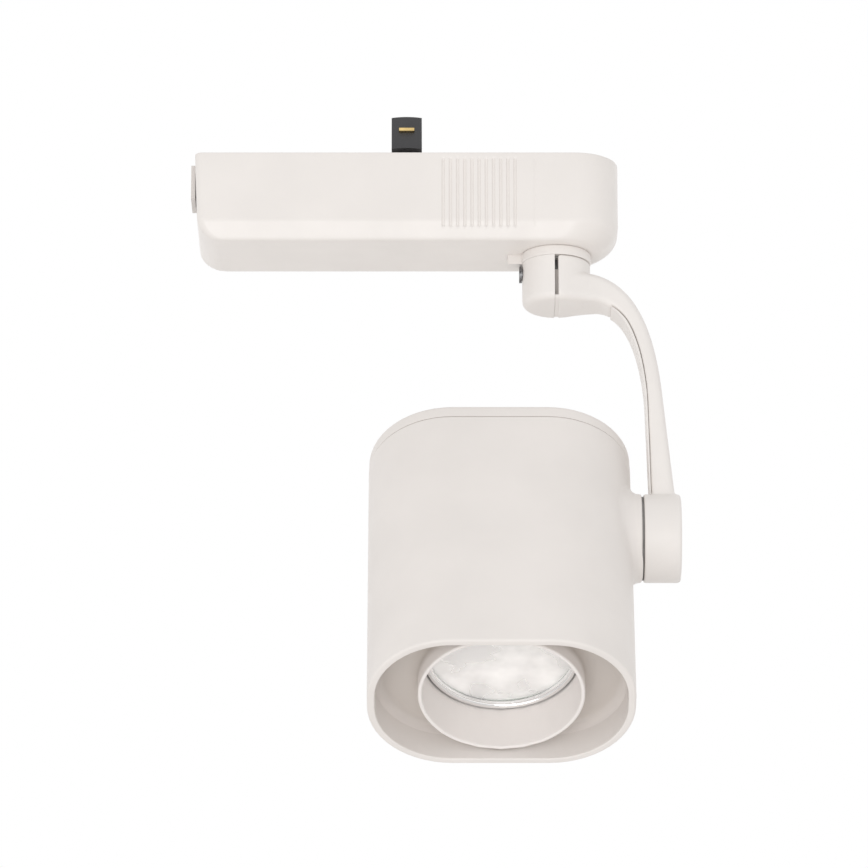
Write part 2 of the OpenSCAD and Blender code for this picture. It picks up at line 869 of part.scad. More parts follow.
// Band of the arm between two shares of its thickness, from curve parameter t0 down
module arm_band(f0, f1, t0, width) {
    rotate([90, 0, 0]) linear_extrude(width, center = true)
        polygon(concat(arm_line(f0, t0), reversed(arm_line(f1, t0))));
}

// Band between two seam lines
module seam_band(f0, f1, t0, width) {
    rotate([90, 0, 0]) linear_extrude(width, center = true)
        polygon(concat(seam_line(f0, t0), reversed(seam_line(f1, t0))));
}

// Prism that gives the arm its width, as seen from above
module arm_width_form() {
    steps = 10;
    end_x = knuckle_end + cut;
    edge = [for (i = [0:steps]) [i * arm_reach / steps, arm_half(i * arm_reach / steps)]];
    far = [[end_x, arm_half_w], [end_x, -arm_half_w]];
    translate([0, 0, pivot_z]) linear_extrude(-pivot_z)
        polygon(concat(edge, far, reversed([for (p = edge) [p.x, -p.y]])));
}

// Stub that joins the arm's first section to the hub
module arm_root() {
    root_x = split_x + split_w / 2;
    rotate([90, 0, 0]) linear_extrude(2 * hub_r, center = true)
        polygon([[root_x, arm_foot], inner_curve[0], outer_curve[0], [root_x, arm_top]]);
}

module knuckle_form() {
    edge = 1;
    difference() {
        along_tilt_axis(knuckle_x) round_disc(knuckle_r, knuckle_t, edge);
        along_tilt_axis(knuckle_x - cut) cylinder(r = stem_r + run, h = knuckle_web + 2 * cut);
        along_tilt_axis(knuckle_x + knuckle_web) cylinder(r = knuckle_cavity_r, h = knuckle_t);
        along_tilt_axis(knuckle_end - cap_t) cylinder(r = cap_r, h = cap_t + cut);
    }
}

// Groove in the knuckle's inner face for the tilt stop pin
module tilt_groove() {
    spare_deg = 0.5;
    half_deg = tilt_deg + asin(tilt_pin_r / tilt_pin_at) + spare_deg;
    along_tilt_axis(knuckle_x - cut) rotate([0, 0, -half_deg]) rotate_extrude(angle = 2 * half_deg)
        translate([tilt_pin_at - tilt_groove_w / 2, 0]) square([tilt_groove_w, tilt_groove_h + cut]);
}

module arm_shell() {
    side = hub_r + cut;
    intersection() {
        hub_form();
        block([split_x + split_w / 2, -side, hub_foot - cut], [side, side, hub_z + cut]);
    }
    difference() {
        intersection() {
            union() {
                arm_root();
                arm_band(0, 1, 0, 2 * hub_r);
            }
            arm_width_form();
        }
        hub_hollow();
        seam_band(-0.4, seam_share, cover_start, 3 * hub_r);
        along_tilt_axis(knuckle_x) cylinder(r = knuckle_cavity_r, h = knuckle_t);
    }
    split_lips();
    knuckle_form();
}

// Lips in the hub's cavity that lap behind the split, so that no light passes through it
module split_lips() {
    side_y = [hub_cavity_r - 0.7, hub_cavity_r - 0.25];
    reach = 1.5;
    root_x = 3;
    floor_lip_t = 0.6;
    foot = hub_foot + hub_floor_t;
    for (s = [-1, 1])
        translate([0, s * (side_y[0] + side_y[1]) / 2, 0])
            block(
                [-reach, -(side_y[1] - side_y[0]) / 2, foot + run],
                [root_x, (side_y[1] - side_y[0]) / 2, hub_z - hub_web - gap]
            );
    block([-reach, -side_y[0] - gap, foot + run], [root_x, side_y[0] + gap, foot + floor_lip_t]);
    block([split_x + split_w / 2, -side_y[0], foot - gap], [root_x, side_y[0], foot + floor_lip_t]);
}

// Way for the wires: from the hub's cavity, along the arm and into the knuckle
module arm_channel() {
    half = channel_w / 2;
    slot_x = knuckle_x + knuckle_web;
    slot_t = 4.6;
    root_end = 13;
    arm_band(seam_share - 0.02, channel_share, 0, channel_w);
    block([hub_cavity_r - 4, -half, hub_foot + hub_floor_t], [root_end, half, arm_top - 3]);
    block(
        [slot_x, -half, pivot_z + knuckle_cavity_r - 3],
        [slot_x + slot_t, half, pivot_z + knuckle_r - 1.6]
    );
}

module arm() {
    screw_l = 8;
    color("white") difference() {
        arm_shell();
        arm_channel();
        translate([swivel_pin_at, 0, hub_z - swivel_pin_in])
            cylinder(r = stop_pin_r, h = swivel_pin_in + cut);
        at_cover_screws() translate([0, 0, -screw_l]) cylinder(r = cover_screw[0], h = screw_l);
        tilt_groove();
    }
}

module arm_cover() {
    color("white") difference() {
        intersection() {
            seam_band(0, cover_share, cover_start + 0.02, 2 * hub_r);
            arm_width_form();
            block([0, -hub_r, pivot_z], [knuckle_end, hub_r, hub_z]);
        }
        translate([0, 0, pivot_z]) rotate([0, 90, 0]) cylinder(r = knuckle_r + gap, h = knuckle_end);
    }
}

// Low-voltage wires along the arm's channel, from the hub to the tilt axis
module arm_leads() {
    start_z = stem_flange_z - flange_t - wire_r - 1.9;
    bend_x = 7;
    lane = arm_line(wire_share, 0);
    neck_x = 34.4;
    end_x = knuckle_end - cap_t - wire_r - 0.3;
    color("white") for (s = [-1, 1])
        wire(concat(
            [[0, s * wire_y, start_z], [bend_x, s * wire_y, start_z]],
            [for (i = [2:2:arm_steps]) [lane[i].x, s * wire_y, lane[i].y]],
            [
                [neck_x, s * wire_y, arm_end_z + 1],
                [end_x - 0.3, s * wire_y, pivot_z + knuckle_cavity_r - 1],
                [end_x, s * wire_y, pivot_z]
            ]
        ));
}

module pivot_spring_washer() {
    color("silver") along_tilt_axis(knuckle_x + knuckle_web)
        ring(flange_r - 0.2, stem_r + run, spring_washer_t);
}

module pivot_cap() {
    color("white") along_tilt_axis(knuckle_end - cap_t) cylinder(r = cap_r - gap, h = cap_t);
}

// ---- Lamp head ----

module head_slab(z0, z1, inset) {
    translate([0, 0, z0]) linear_extrude(z1 - z0)
        round_rect(head_w - 2 * inset, head_d - 2 * inset, head_r - inset);
}

module at_back_screws() {
    for (sx = [-1, 1], sy = [-1, 1])
        translate([
            sx * (side_x - head_r + post_at * cos(45)),
            sy * (head_d / 2 - head_r + post_at * sin(45)),
            0
        ]) children();
}

// Tilt axis in the head's frame, starting x from the head's centre line
module along_head_axis(x) {
    translate([x, 0, 0]) rotate([0, 90, 0]) children();
}

// Place of the tilt stop pin, between the axis and the mouth, for a shape that lies along the axis
module at_tilt_pin() {
    translate([tilt_pin_at, 0, 0]) children();
}

module head_shell() {
    post_h = 18;
    flare = 2.5;
    flare_l = 5.5;
    lug = [8, 10, 8];
    screw_l = 12;
    color("white") in_head() difference() {
        union() {
            difference() {
                head_slab(mouth_z, seam_z, 0);
                head_slab(mouth_z - cut, seam_z + cut, head_wall);
            }
            along_head_axis(pad_x) cylinder(r = knuckle_r, h = boss_x - pad_x);
            along_head_axis(side_x - flare_l + cut)
                cylinder(r1 = knuckle_r + flare, r2 = knuckle_r, h = flare_l);
            at_back_screws() translate([0, 0, seam_z - lip_h - gap - post_h])
                cylinder(r = post_r, h = post_h);
            for (s = [-1, 1])
                translate([s * (side_x - lug.x / 2 - 2), 0, lug_z + lug.z / 2]) cube(lug, center = true);
        }
        along_head_axis(0) cylinder(r = stem_r + gap, h = side_x + knuckle_r);
        along_head_axis(boss_x - tilt_pin_in) at_tilt_pin() cylinder(r = tilt_pin_r, h = tilt_pin_in + cut);
        at_back_screws() translate([0, 0, seam_z - screw_l])
            cylinder(r = back_screw[0] + gap, h = screw_l + cut);
        for (s = [-1, 1])
            translate([s * bezel_screw_x, 0, lug_z - cut])
                cylinder(r = flat_screw[0] + gap, h = lug.z + 2 * cut);
    }
}

module back_cover() {
    skin = 2.5;
    edge = 1;
    fit = head_wall + 0.15;
    hollow = fit + 1.5;
    color("white") in_head() difference() {
        union() {
            head_slab(seam_z, back_l - edge, 0);
            head_slab(back_l - edge, back_l, edge);
            difference() {
                head_slab(seam_z - lip_h, seam_z + gap, fit);
                head_slab(seam_z - lip_h - cut, seam_z + cut, hollow);
            }
            at_back_screws() translate([0, 0, seam_z - lip_h]) cylinder(r = cover_post_r, h = lip_h + gap);
        }
        difference() {
            head_slab(seam_z - cut, back_l - skin, hollow);
            at_back_screws() translate([0, 0, seam_z - 2 * cut])
                cylinder(r = cover_post_r, h = cover_t + 2 * cut);
        }
        at_back_screws() translate([0, 0, back_l]) flat_head_hole(back_screw, cover_t + lip_h);
    }
}

module back_cover_screws() {
    length = 16;
    color("silver") in_head() at_back_screws() translate([0, 0, back_l]) flat_head_screw(back_screw, length);
}

// Hollow stem of the tilt joint: flange inside the knuckle, nut inside the head
module pivot_stem() {
    spare_thread = 1.5;
    inner_x = pad_x - washer_t - nut_t - spare_thread;
    flange_x = pivot_flange_x + head_x;
    length = flange_x - inner_x;
    color("goldenrod") in_head() difference() {
        union() {
            along_head_axis(inner_x) cylinder(r = stem_r, h = length + gap);
            along_head_axis(flange_x) cylinder(r = flange_r, h = flange_t);
        }
        along_head_axis(inner_x - cut) cylinder(r = stem_bore_r, h = length + flange_t + 2 * cut);
    }
}

module pivot_washer() {
    color("silver") in_head() along_head_axis(pad_x - washer_t)
        ring(washer_r, stem_r + gap, washer_t);
}

module pivot_nut() {
    color("silver") in_head() along_head_axis(pad_x - washer_t - nut_t) hex_nut();
}

module friction_washer() {
    color("black") in_head() along_head_axis(boss_x) difference() {
        ring(knuckle_r - 0.8, stem_r + gap, friction_t);
        at_tilt_pin() translate([0, 0, -cut]) cylinder(r = tilt_pin_r + gap, h = friction_t + 2 * cut);
    }
}

module tilt_stop_pin() {
    length = tilt_pin_in + knuckle_x - boss_face + tilt_pin_out;
    color("silver") in_head() along_head_axis(boss_x - tilt_pin_in) at_tilt_pin()
        cylinder(r = tilt_pin_r, h = length);
}

// Baffle plate and glare tube, moulded in one piece
module lamp_bezel() {
    fit = head_wall + 0.2;
    bore_r = tube_r - tube_wall;
    shoulder_w = 1.4;
    tube_edge = mouth_z + tube_sunk;
    tube_end = lamp_z + 8;
    shoulder_z = lamp_z + lamp_rim_h + gap;
    color("white") in_head() difference() {
        union() {
            head_slab(baffle_z, baffle_z + baffle_t, fit);
            translate([0, 0, tube_edge]) cylinder(r = tube_r, h = tube_end - tube_edge);
        }
        translate([0, 0, mouth_z]) cylinder(r = bore_r, h = shoulder_z - mouth_z);
        translate([0, 0, mouth_z]) cylinder(r = bore_r - shoulder_w, h = mouth_l);
        for (s = [-1, 1])
            translate([s * bezel_screw_x, 0, baffle_z]) rotate([180, 0, 0])
                flat_head_hole(flat_screw, baffle_t);
    }
}

module bezel_screws() {
    length = 9;
    color("white") in_head() for (s = [-1, 1])
        translate([s * bezel_screw_x, 0, baffle_z]) rotate([180, 0, 0]) flat_head_screw(flat_screw, length);
}

module lamp_ring() {
    rod_r = 1.2;
    mid_r = tube_r - tube_wall - rod_r - run;
    color("lightgray") in_head() translate([0, 0, mouth_z + ring_sunk + rod_r])
        rotate_extrude() translate([mid_r, 0]) circle(r = rod_r);
}

module lamp_glass() {
    color("aliceblue") in_head() translate([0, 0, lamp_z]) cylinder(r = glass_r, h = glass_t);
}

module lamp_reflector() {
    seat_z = lamp_z + glass_t;
    rim_z = lamp_z + lamp_rim_h;
    step = (lamp_neck_z - rim_z) / reflector_steps;
    inner = [for (i = [0:reflector_steps]) [bowl_r(rim_z + i * step), rim_z + i * step]];
    outer = [for (p = reversed(inner)) [p.x + lamp_wall, p.y]];
    color("silver") in_head() rotate_extrude()
        polygon(concat(
            [[glass_r + run, lamp_z], [glass_r + run, seat_z], [bowl_r(seat_z), seat_z]],
            inner, outer, [[lamp_rim_r, rim_z], [lamp_rim_r, lamp_z]]
        ));
}

module lamp_capsule() {
    bulb_r = 4.5;
    bulb_l = 9;
    bulb_z = lamp_neck_z - 16;
    pinch = [8, 3, 6];
    color("white") in_head() {
        translate([0, 0, bulb_z]) sphere(r = bulb_r);
        translate([0, 0, bulb_z]) cylinder(r = bulb_r, h = bulb_l);
        translate([0, 0, bulb_z + bulb_l - cut + pinch.z / 2]) cube(pinch, center = true);
    }
}

module lamp_base() {
    plug_h = 2;
    foot = [11, 17, 3]; // width, depth and corner radius
    color("ivory") in_head() union() {
        translate([0, 0, lamp_neck_z - plug_h]) cylinder(r = lamp_neck_r - gap, h = plug_h + gap);
        translate([0, 0, lamp_neck_z]) linear_extrude(base_end - lamp_neck_z)
            round_rect(foot.x, foot.y, foot.z);
    }
}

module lamp_pins() {
    color("silver") in_head() for (s = [-1, 1])
        translate([0, s * pin_pitch / 2, base_end]) cylinder(r = pin_r, h = pin_l);
}

module lamp_socket() {
    size = [22, 13];
    corner_r = 2;
    thread_l = 5;
    color("ivory") in_head() difference() {
        translate([0, 0, base_end]) linear_extrude(socket_back - base_end)
            round_rect(size.x, size.y, corner_r);
        for (s = [-1, 1]) {
            translate([0, s * pin_pitch / 2, base_end - cut])
                cylinder(r = pin_r + gap, h = pin_l + cut + gap);
            translate([s * socket_screw_x, 0, socket_back - thread_l])
                cylinder(r = pan_screw[0] + gap, h = thread_l + cut);
        }
    }
}

// Strap that holds the lamp socket behind the baffle plate
module socket_bracket() {
    leg_x = 28;
    half_w = 5;
    foot_l = 11.6;
    foot_z = baffle_z + baffle_t;
    top = socket_back + bracket_t;
    hole_h = bracket_t + 2 * cut;
    color("silver") in_head() difference() {
        union() {
            block([-leg_x - bracket_t, -half_w, socket_back], [leg_x + bracket_t, half_w, top]);
            for (s = [-1, 1]) {
                translate([s * (leg_x + bracket_t / 2), 0, (foot_z + top) / 2])
                    cube([bracket_t, 2 * half_w, top - foot_z], center = true);
                translate([s * (leg_x + foot_l / 2), 0, foot_z + bracket_t / 2])
                    cube([foot_l, 2 * half_w, bracket_t], center = true);
            }
        }
        for (s = [-1, 1]) {
            for (at = [[bezel_screw_x, foot_z], [socket_screw_x, socket_back]])
                translate([s * at.x, 0, at.y - cut]) cylinder(r = pan_screw[0] + gap, h = hole_h);
            translate([0, s * pin_pitch / 2, socket_back - cut]) cylinder(r = wire_r + gap, h = hole_h);
        }
    }
}

module socket_screws() {
    length = 5.5;
    color("silver") in_head() for (s = [-1, 1])
        translate([s * socket_screw_x, 0, socket_back + bracket_t]) pan_head_screw(pan_screw, length);
}

// Low-voltage wires from the tilt axis to the lamp socket
module head_leads() {
    start_x = pivot_flange_x + flange_t + head_x - wire_r;
    color("white") in_head() for (s = [-1, 1])
        wire([
            [start_x, s * wire_y, 0],
            [14, s * wire_y, 0],
            [8, s * pin_pitch / 2, 2],
            [2, s * pin_pitch / 2, 2],
            [0, s * pin_pitch / 2, 0],
            [0, s * pin_pitch / 2, socket_back + wire_r]
        ]);
}

gear_box_shell();
gear_box_lid();
lid_screws();
driver_board();
board_screws();
transformer_core();
transformer_winding();
driver_capacitors();
driver_transistors();
terminal_block();
mains_leads();
adapter_neck();
adapter_screws();
live_contact();
neutral_contact();
earth_contact();
swivel_collar();
swivel_stem();
stem_washer();
stem_nut();
stem_leads();
release_latch();
latch_spring();
arm();
arm_cover();
swivel_cover();
cover_screws();
lock_screw();
swivel_spring_washer();
swivel_stop_pin();
arm_leads();
pivot_spring_washer();
pivot_cap();
head_shell();
back_cover();
back_cover_screws();
pivot_stem();
pivot_washer();
pivot_nut();
friction_washer();
tilt_stop_pin();
lamp_bezel();
bezel_screws();
lamp_ring();
lamp_glass();
lamp_reflector();
lamp_capsule();
lamp_base();
lamp_pins();
lamp_socket();
socket_bracket();
socket_screws();
head_leads();
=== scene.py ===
import json
import math

import bmesh
import bpy
from mathutils import Matrix, Vector


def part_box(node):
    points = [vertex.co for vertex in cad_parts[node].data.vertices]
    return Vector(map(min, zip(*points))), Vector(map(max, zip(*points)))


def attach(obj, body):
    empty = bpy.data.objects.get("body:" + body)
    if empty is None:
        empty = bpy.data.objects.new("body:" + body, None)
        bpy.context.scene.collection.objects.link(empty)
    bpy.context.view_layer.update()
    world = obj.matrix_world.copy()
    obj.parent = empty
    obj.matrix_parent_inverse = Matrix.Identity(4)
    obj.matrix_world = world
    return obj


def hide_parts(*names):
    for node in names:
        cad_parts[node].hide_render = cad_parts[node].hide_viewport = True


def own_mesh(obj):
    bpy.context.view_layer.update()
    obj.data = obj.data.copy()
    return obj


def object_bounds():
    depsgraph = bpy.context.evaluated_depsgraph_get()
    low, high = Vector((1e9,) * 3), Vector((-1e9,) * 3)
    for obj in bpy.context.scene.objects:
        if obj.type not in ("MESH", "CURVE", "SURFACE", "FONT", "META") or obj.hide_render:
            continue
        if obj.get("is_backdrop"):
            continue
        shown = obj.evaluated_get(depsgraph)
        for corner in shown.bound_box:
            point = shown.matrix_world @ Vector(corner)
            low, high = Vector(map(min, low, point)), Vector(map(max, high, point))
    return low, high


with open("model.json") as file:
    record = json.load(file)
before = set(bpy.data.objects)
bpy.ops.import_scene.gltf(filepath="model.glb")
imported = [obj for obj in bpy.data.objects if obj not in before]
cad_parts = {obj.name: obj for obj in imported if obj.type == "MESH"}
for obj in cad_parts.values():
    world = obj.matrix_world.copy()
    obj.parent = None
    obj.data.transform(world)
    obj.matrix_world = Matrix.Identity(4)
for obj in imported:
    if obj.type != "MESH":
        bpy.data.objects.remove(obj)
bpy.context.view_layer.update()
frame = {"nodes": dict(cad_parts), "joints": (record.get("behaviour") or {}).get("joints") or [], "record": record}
nodes = frame["nodes"]
joints = {joint["name"]: joint for joint in frame["joints"]}

# Shapes below are written in millimetres in the part's own frame and scaled to metres as they are built.
MM = 0.001

# The head's frame: on the lamp's centre line and the tilt axis, -Z towards the mouth, leaning at rest.
tilt_low, tilt_high = joints["head_tilt"]["range_deg"]
HEAD_TILT = math.radians((tilt_low + tilt_high) / 2)
PIVOT = Vector(joints["head_tilt"]["pos_m"]) / MM
glass_low, glass_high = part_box("lamp_glass")
HEAD_X = (glass_low.x + glass_high.x) / 2 / MM
HEAD = Matrix.Translation((HEAD_X, 0, PIVOT.z)) @ Matrix.Rotation(-HEAD_TILT, 4, "X")
UPRIGHT = Matrix.Identity(4)


def box_mm(node, place=UPRIGHT):
    """Lowest and highest corner of a CAD node in millimetres, in the given frame."""
    back = place.inverted()
    points = [back @ (vertex.co / MM) for vertex in nodes[node].data.vertices]
    low = Vector([min(p[i] for p in points) for i in range(3)])
    high = Vector([max(p[i] for p in points) for i in range(3)])
    return low, high


# ---- Mesh helpers ----

def circle(radius, z, count):
    """Points of a circle at height z."""
    turn = 2 * math.pi / count
    return [(radius * math.cos(turn * i), radius * math.sin(turn * i), z) for i in range(count)]


def quarter(centre, radius, start_deg, end_deg, steps=5):
    """Points of an arc in a profile plane, both ends included."""
    points = []
    for i in range(steps + 1):
        a = math.radians(start_deg + (end_deg - start_deg) * i / steps)
        points.append((centre[0] + radius * math.cos(a), centre[1] + radius * math.sin(a)))
    return points


def loft(rings, closed=False):
    """Vertices and faces of a skin through rings of equal length.

    Closed joins the last ring to the first; otherwise both ends are capped.
    """
    count = len(rings[0])
    verts = [Vector(p) for ring in rings for p in ring]
    faces = []
    last = len(rings) if closed else len(rings) - 1
    for i in range(last):
        a, b = i * count, (i + 1) % len(rings) * count
        for j in range(count):
            k = (j + 1) % count
            faces.append((a + j, a + k, b + k, b + j))
    if not closed:
        faces.append(tuple(reversed(range(count))))
        top = (len(rings) - 1) * count
        faces.append(tuple(range(top, top + count)))
    return verts, faces


def lathe(profile, count=96, closed=False):
    """Skin turned round Z from (radius, z) points."""
    return loft([circle(r, z, count) for r, z in profile], closed)


def moved(skin, place):
    """The skin carried by a matrix."""
    verts, faces = skin
    return [place @ v for v in verts], faces


def joined(*skins):
    """Several skins as one."""
    verts, faces = [], []
    for more_verts, more_faces in skins:
        start = len(verts)
        verts += more_verts
        faces += [tuple(start + i for i in face) for face in more_faces]
    return verts, faces


def mesh_object(name, skin, place=UPRIGHT):
    """Object from a skin in millimetres, with its faces turned outwards."""
    verts, faces = skin
    mesh = bpy.data.meshes.new(name)
    mesh.from_pydata([(place @ Vector(v)) * MM for v in verts], [], faces)
    obj = bpy.data.objects.new(name, mesh)
    bpy.context.scene.collection.objects.link(obj)
    outward(obj)
    return obj


def outward(obj):
    """Turns all faces of a closed mesh outwards."""
    bm = bmesh.new()
    bm.from_mesh(obj.data)
    bmesh.ops.recalc_face_normals(bm, faces=bm.faces)
    bm.to_mesh(obj.data)
    bm.free()


def settle(obj):
    """Applies the object's modifiers to its mesh."""
    depsgraph = bpy.context.evaluated_depsgraph_get()
    mesh = bpy.data.meshes.new_from_object(obj.evaluated_get(depsgraph))
    old = obj.data
    obj.modifiers.clear()
    obj.data = mesh
    bpy.data.meshes.remove(old)


def combine(obj, other, operation):
    """Boolean of two closed meshes; the second is used up."""
    modifier = obj.modifiers.new("combine", "BOOLEAN")
    modifier.operation = operation
    modifier.solver = "EXACT"
    modifier.object = other
    bpy.context.view_layer.update()
    settle(obj)
    bpy.data.objects.remove(other)


def cut(obj, *skins, place=UPRIGHT):
    """Takes skins away from an object."""
    for skin in skins:
        combine(obj, mesh_object("cutter", skin, place), "DIFFERENCE")


def fuse(obj, *skins):
    """Adds skins to an object."""
    for skin in skins:
        combine(obj, mesh_object("addition", skin), "UNION")


def soften(obj, voxel, rounds):
    """Voxel remesh and smoothing, which rounds every edge and fillets every inside corner."""
    remesh = obj.modifiers.new("remesh", "REMESH")
    remesh.mode = "VOXEL"
    remesh.voxel_size = voxel * MM
    smooth = obj.modifiers.new("smooth", "SMOOTH")
    smooth.factor = 0.5
    smooth.iterations = rounds
    settle(obj)


def shade(obj, sharp_deg):
    """Smooth shading with edges sharper than the angle kept crisp."""
    for polygon in obj.data.polygons:
        polygon.use_smooth = True
    obj.data.set_sharp_from_angle(angle=math.radians(sharp_deg))


def dress(obj, material):
    """Gives an object one material."""
    obj.data.materials.clear()
    obj.data.materials.append(material)


def even_normals(obj):
    """Lets the big faces set the shading, so that flats next to small bends stay flat."""
    weigh = obj.modifiers.new("even_normals", "WEIGHTED_NORMAL")
    weigh.keep_sharp = True


def finish_piece(obj, body, slot, node, sharp_deg):
    """Material, shading and body of a new piece, and the CAD node that it stands for."""
    dress(obj, materials[slot])
    shade(obj, sharp_deg)
    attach(obj, body)
    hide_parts(node)


def block(low, high):
    """Box between two corners."""
    (x0, y0, z0), (x1, y1, z1) = low, high
    rings = [[(x0, y0, z), (x1, y0, z), (x1, y1, z), (x0, y1, z)] for z in (z0, z1)]
    return loft(rings)


# ---- Materials ----

def material_nodes(name):
    """A new material with its node tree and shader."""
    material = bpy.data.materials.new(name)
    material.use_nodes = True
    tree = material.node_tree
    return material, tree, tree.nodes["Principled BSDF"]


def link(tree, source, target):
    """Connects an output socket to an input."""
    tree.links.new(source, target)


def noise_node(tree, scale, detail):
    """Noise in object space. Scale is in waves per metre."""
    coords = tree.nodes.new("ShaderNodeTexCoord")
    node = tree.nodes.new("ShaderNodeTexNoise")
    node.inputs["Scale"].default_value = scale
    node.inputs["Detail"].default_value = detail
    node.inputs["Roughness"].default_value = 0.5
    link(tree, coords.outputs["Object"], node.inputs["Vector"])
    return node.outputs["Fac"]


def remap(tree, value, low, high, to_low, to_high):
    """The value moved from one range to another, and held inside it."""
    node = tree.nodes.new("ShaderNodeMapRange")
    for name, number in (("From Min", low), ("From Max", high), ("To Min", to_low), ("To Max", to_high)):
        node.inputs[name].default_value = number
    link(tree, value, node.inputs["Value"])
    return node.outputs["Result"]


def mix_colours(tree, share, first, second):
    """Colour mix. Each colour is a tuple or a socket."""
    node = tree.nodes.new("ShaderNodeMix")
    node.data_type = "RGBA"
    link(tree, share, node.inputs["Factor"])
    for socket, colour in ((node.inputs[6], first), (node.inputs[7], second)):
        if isinstance(colour, tuple):
            socket.default_value = (*colour, 1)
        else:
            link(tree, colour, socket)
    return node.outputs[2]


def bump(tree, shader, height, distance_mm, strength, after=None):
    """Fine surface relief, on top of an earlier one if given."""
    node = tree.nodes.new("ShaderNodeBump")
    node.inputs["Strength"].default_value = strength
    node.inputs["Distance"].default_value = distance_mm * MM
    link(tree, height, node.inputs["Height"])
    if after is not None:
        link(tree, after, node.inputs["Normal"])
    link(tree, node.outputs["Normal"], shader.inputs["Normal"])
    return node.outputs["Normal"]


def crevices(tree, distance_mm, closed=0.25, clear=0.85):
    """Ambient-occlusion mask: 1 in seams and inside corners, where shade falls, 0 on open faces."""
    node = tree.nodes.new("ShaderNodeAmbientOcclusion")
    node.samples = 6
    node.inputs["Distance"].default_value = distance_mm * MM
    return remap(tree, node.outputs["AO"], closed, clear, 1, 0)


def edges(tree, low, high):
    """1 on outside edges, 0 on faces, from the mesh's own curvature."""
    node = tree.nodes.new("ShaderNodeNewGeometry")
    return remap(tree, node.outputs["Pointiness"], low, high, 0, 1)


def coated(name, colour, roughness, grain_per_m, grain_mm, seam_dirt_and_shade=0.5, coat=0.0, wear=0.25, depth=0.0):
    """Powder coat or moulded plastic: fine grain, faint blotches, seams darkened partly by dirt and partly by
    painted shade, polished edges.

    A piece with depth also carries a vertex value that says how far down a recess each point lies; depth is the
    share of painted shade laid on there.
    """
    material, tree, shader = material_nodes(name)
    darker = tuple(c * 0.965 for c in colour)
    # Grey-brown tone laid into the seams: partly dirt, partly painted shade.
    dirt_and_shade_colour = (colour[0] * 0.62, colour[1] * 0.585, colour[2] * 0.55)
    worn = tuple(min(1.0, c * 1.06) for c in colour)
    blotch = noise_node(tree, 38, 3)
    base = mix_colours(tree, remap(tree, blotch, 0.35, 0.65, 0, 1), colour, darker)
    edge = edges(tree, 0.52, 0.62)
    edge_share = remap(tree, edge, 0, 1, 0, wear)
    base = mix_colours(tree, edge_share, base, worn)
    # Ambient occlusion darkens seams and inside corners: dirt together with painted shade where shade falls.
    seam = crevices(tree, 1.6)
    seam_share = remap(tree, seam, 0, 1, 0, seam_dirt_and_shade)
    base = mix_colours(tree, seam_share, base, dirt_and_shade_colour)
    # Painted shade: points down a recess are darkened by their vertex value, as if in shadow.
    if depth:
        depth_shade = tree.nodes.new("ShaderNodeAttribute")
        depth_shade.attribute_name = "depth_shade"
        shadow = (colour[0] * 0.5, colour[1] * 0.47, colour[2] * 0.43)
        base = mix_colours(tree, remap(tree, depth_shade.outputs["Fac"], 0, 1, 0, depth), base, shadow)
    link(tree, base, shader.inputs["Base Color"])
    gloss = noise_node(tree, 160, 4)
    link(tree, remap(tree, gloss, 0.3, 0.7, roughness - 0.05, roughness + 0.06), shader.inputs["Roughness"])
    peel = noise_node(tree, grain_per_m / 3, 1)
    first = bump(tree, shader, peel, grain_mm * 1.5, 0.35)
    grain = noise_node(tree, grain_per_m, 2)
    bump(tree, shader, grain, grain_mm, 0.6, after=first)
    shader.inputs["Coat Weight"].default_value = coat
    shader.inputs["Coat Roughness"].default_value = 0.25
    return material


def metal(name, colour, roughness, tarnish=0.8):
    """Metal with a fine grain and slight staining."""
    material, tree, shader = material_nodes(name)
    stain = noise_node(tree, 260, 4)
    dull = tuple(c * tarnish for c in colour)
    base = mix_colours(tree, remap(tree, stain, 0.4, 0.7, 0, 1), colour, dull)
    link(tree, base, shader.inputs["Base Color"])
    shader.inputs["Metallic"].default_value = 1
    grain = noise_node(tree, 900, 3)
    link(tree, remap(tree, grain, 0.3, 0.7, roughness * 0.75, roughness * 1.3), shader.inputs["Roughness"])
    bump(tree, shader, grain, 0.01, 0.4)
    return material


def chrome(name):
    """Bright plating with the faintest ripple, and painted dark reflection, nearly black, where it meets its
    neighbours.
    """
    material, tree, shader = material_nodes(name)
    shader.inputs["Metallic"].default_value = 1
    ripple = noise_node(tree, 240, 2)
    bright = mix_colours(tree, ripple, (0.95, 0.95, 0.95), (0.88, 0.88, 0.88))
    # Painted shade and reflection: ambient occlusion turns the plating nearly black where it meets other parts.
    contact_shade = crevices(tree, 1.2, closed=0.27, clear=0.66)
    link(tree, mix_colours(tree, contact_shade, bright, (0.05, 0.048, 0.045)), shader.inputs["Base Color"])
    link(tree, remap(tree, ripple, 0.3, 0.7, 0.04, 0.09), shader.inputs["Roughness"])
    bump(tree, shader, ripple, 0.02, 0.15)
    return material


def hazy_glass(name):
    """Pressed front glass: clear, with a milky haze that thins in soft patches and carries a faint painted glow.
    """
    material, tree, shader = material_nodes(name)
    shader.inputs["IOR"].default_value = 1.5
    shader.inputs["Base Color"].default_value = (0.97, 0.96, 0.95, 1)
    cloud = noise_node(tree, 60, 3)
    link(tree, remap(tree, cloud, 0.35, 0.65, 0.3, 0.55), shader.inputs["Transmission Weight"])
    # Painted light: a faint emission brightens the haze in place of light reaching it.
    shader.inputs["Emission Color"].default_value = (1.0, 0.965, 0.935, 1)
    link(tree, remap(tree, cloud, 0.35, 0.65, 0.17, 0.08), shader.inputs["Emission Strength"])
    link(tree, remap(tree, cloud, 0.3, 0.7, 0.2, 0.3), shader.inputs["Roughness"])
    bump(tree, shader, noise_node(tree, 900, 2), 0.02, 0.2)
    return material


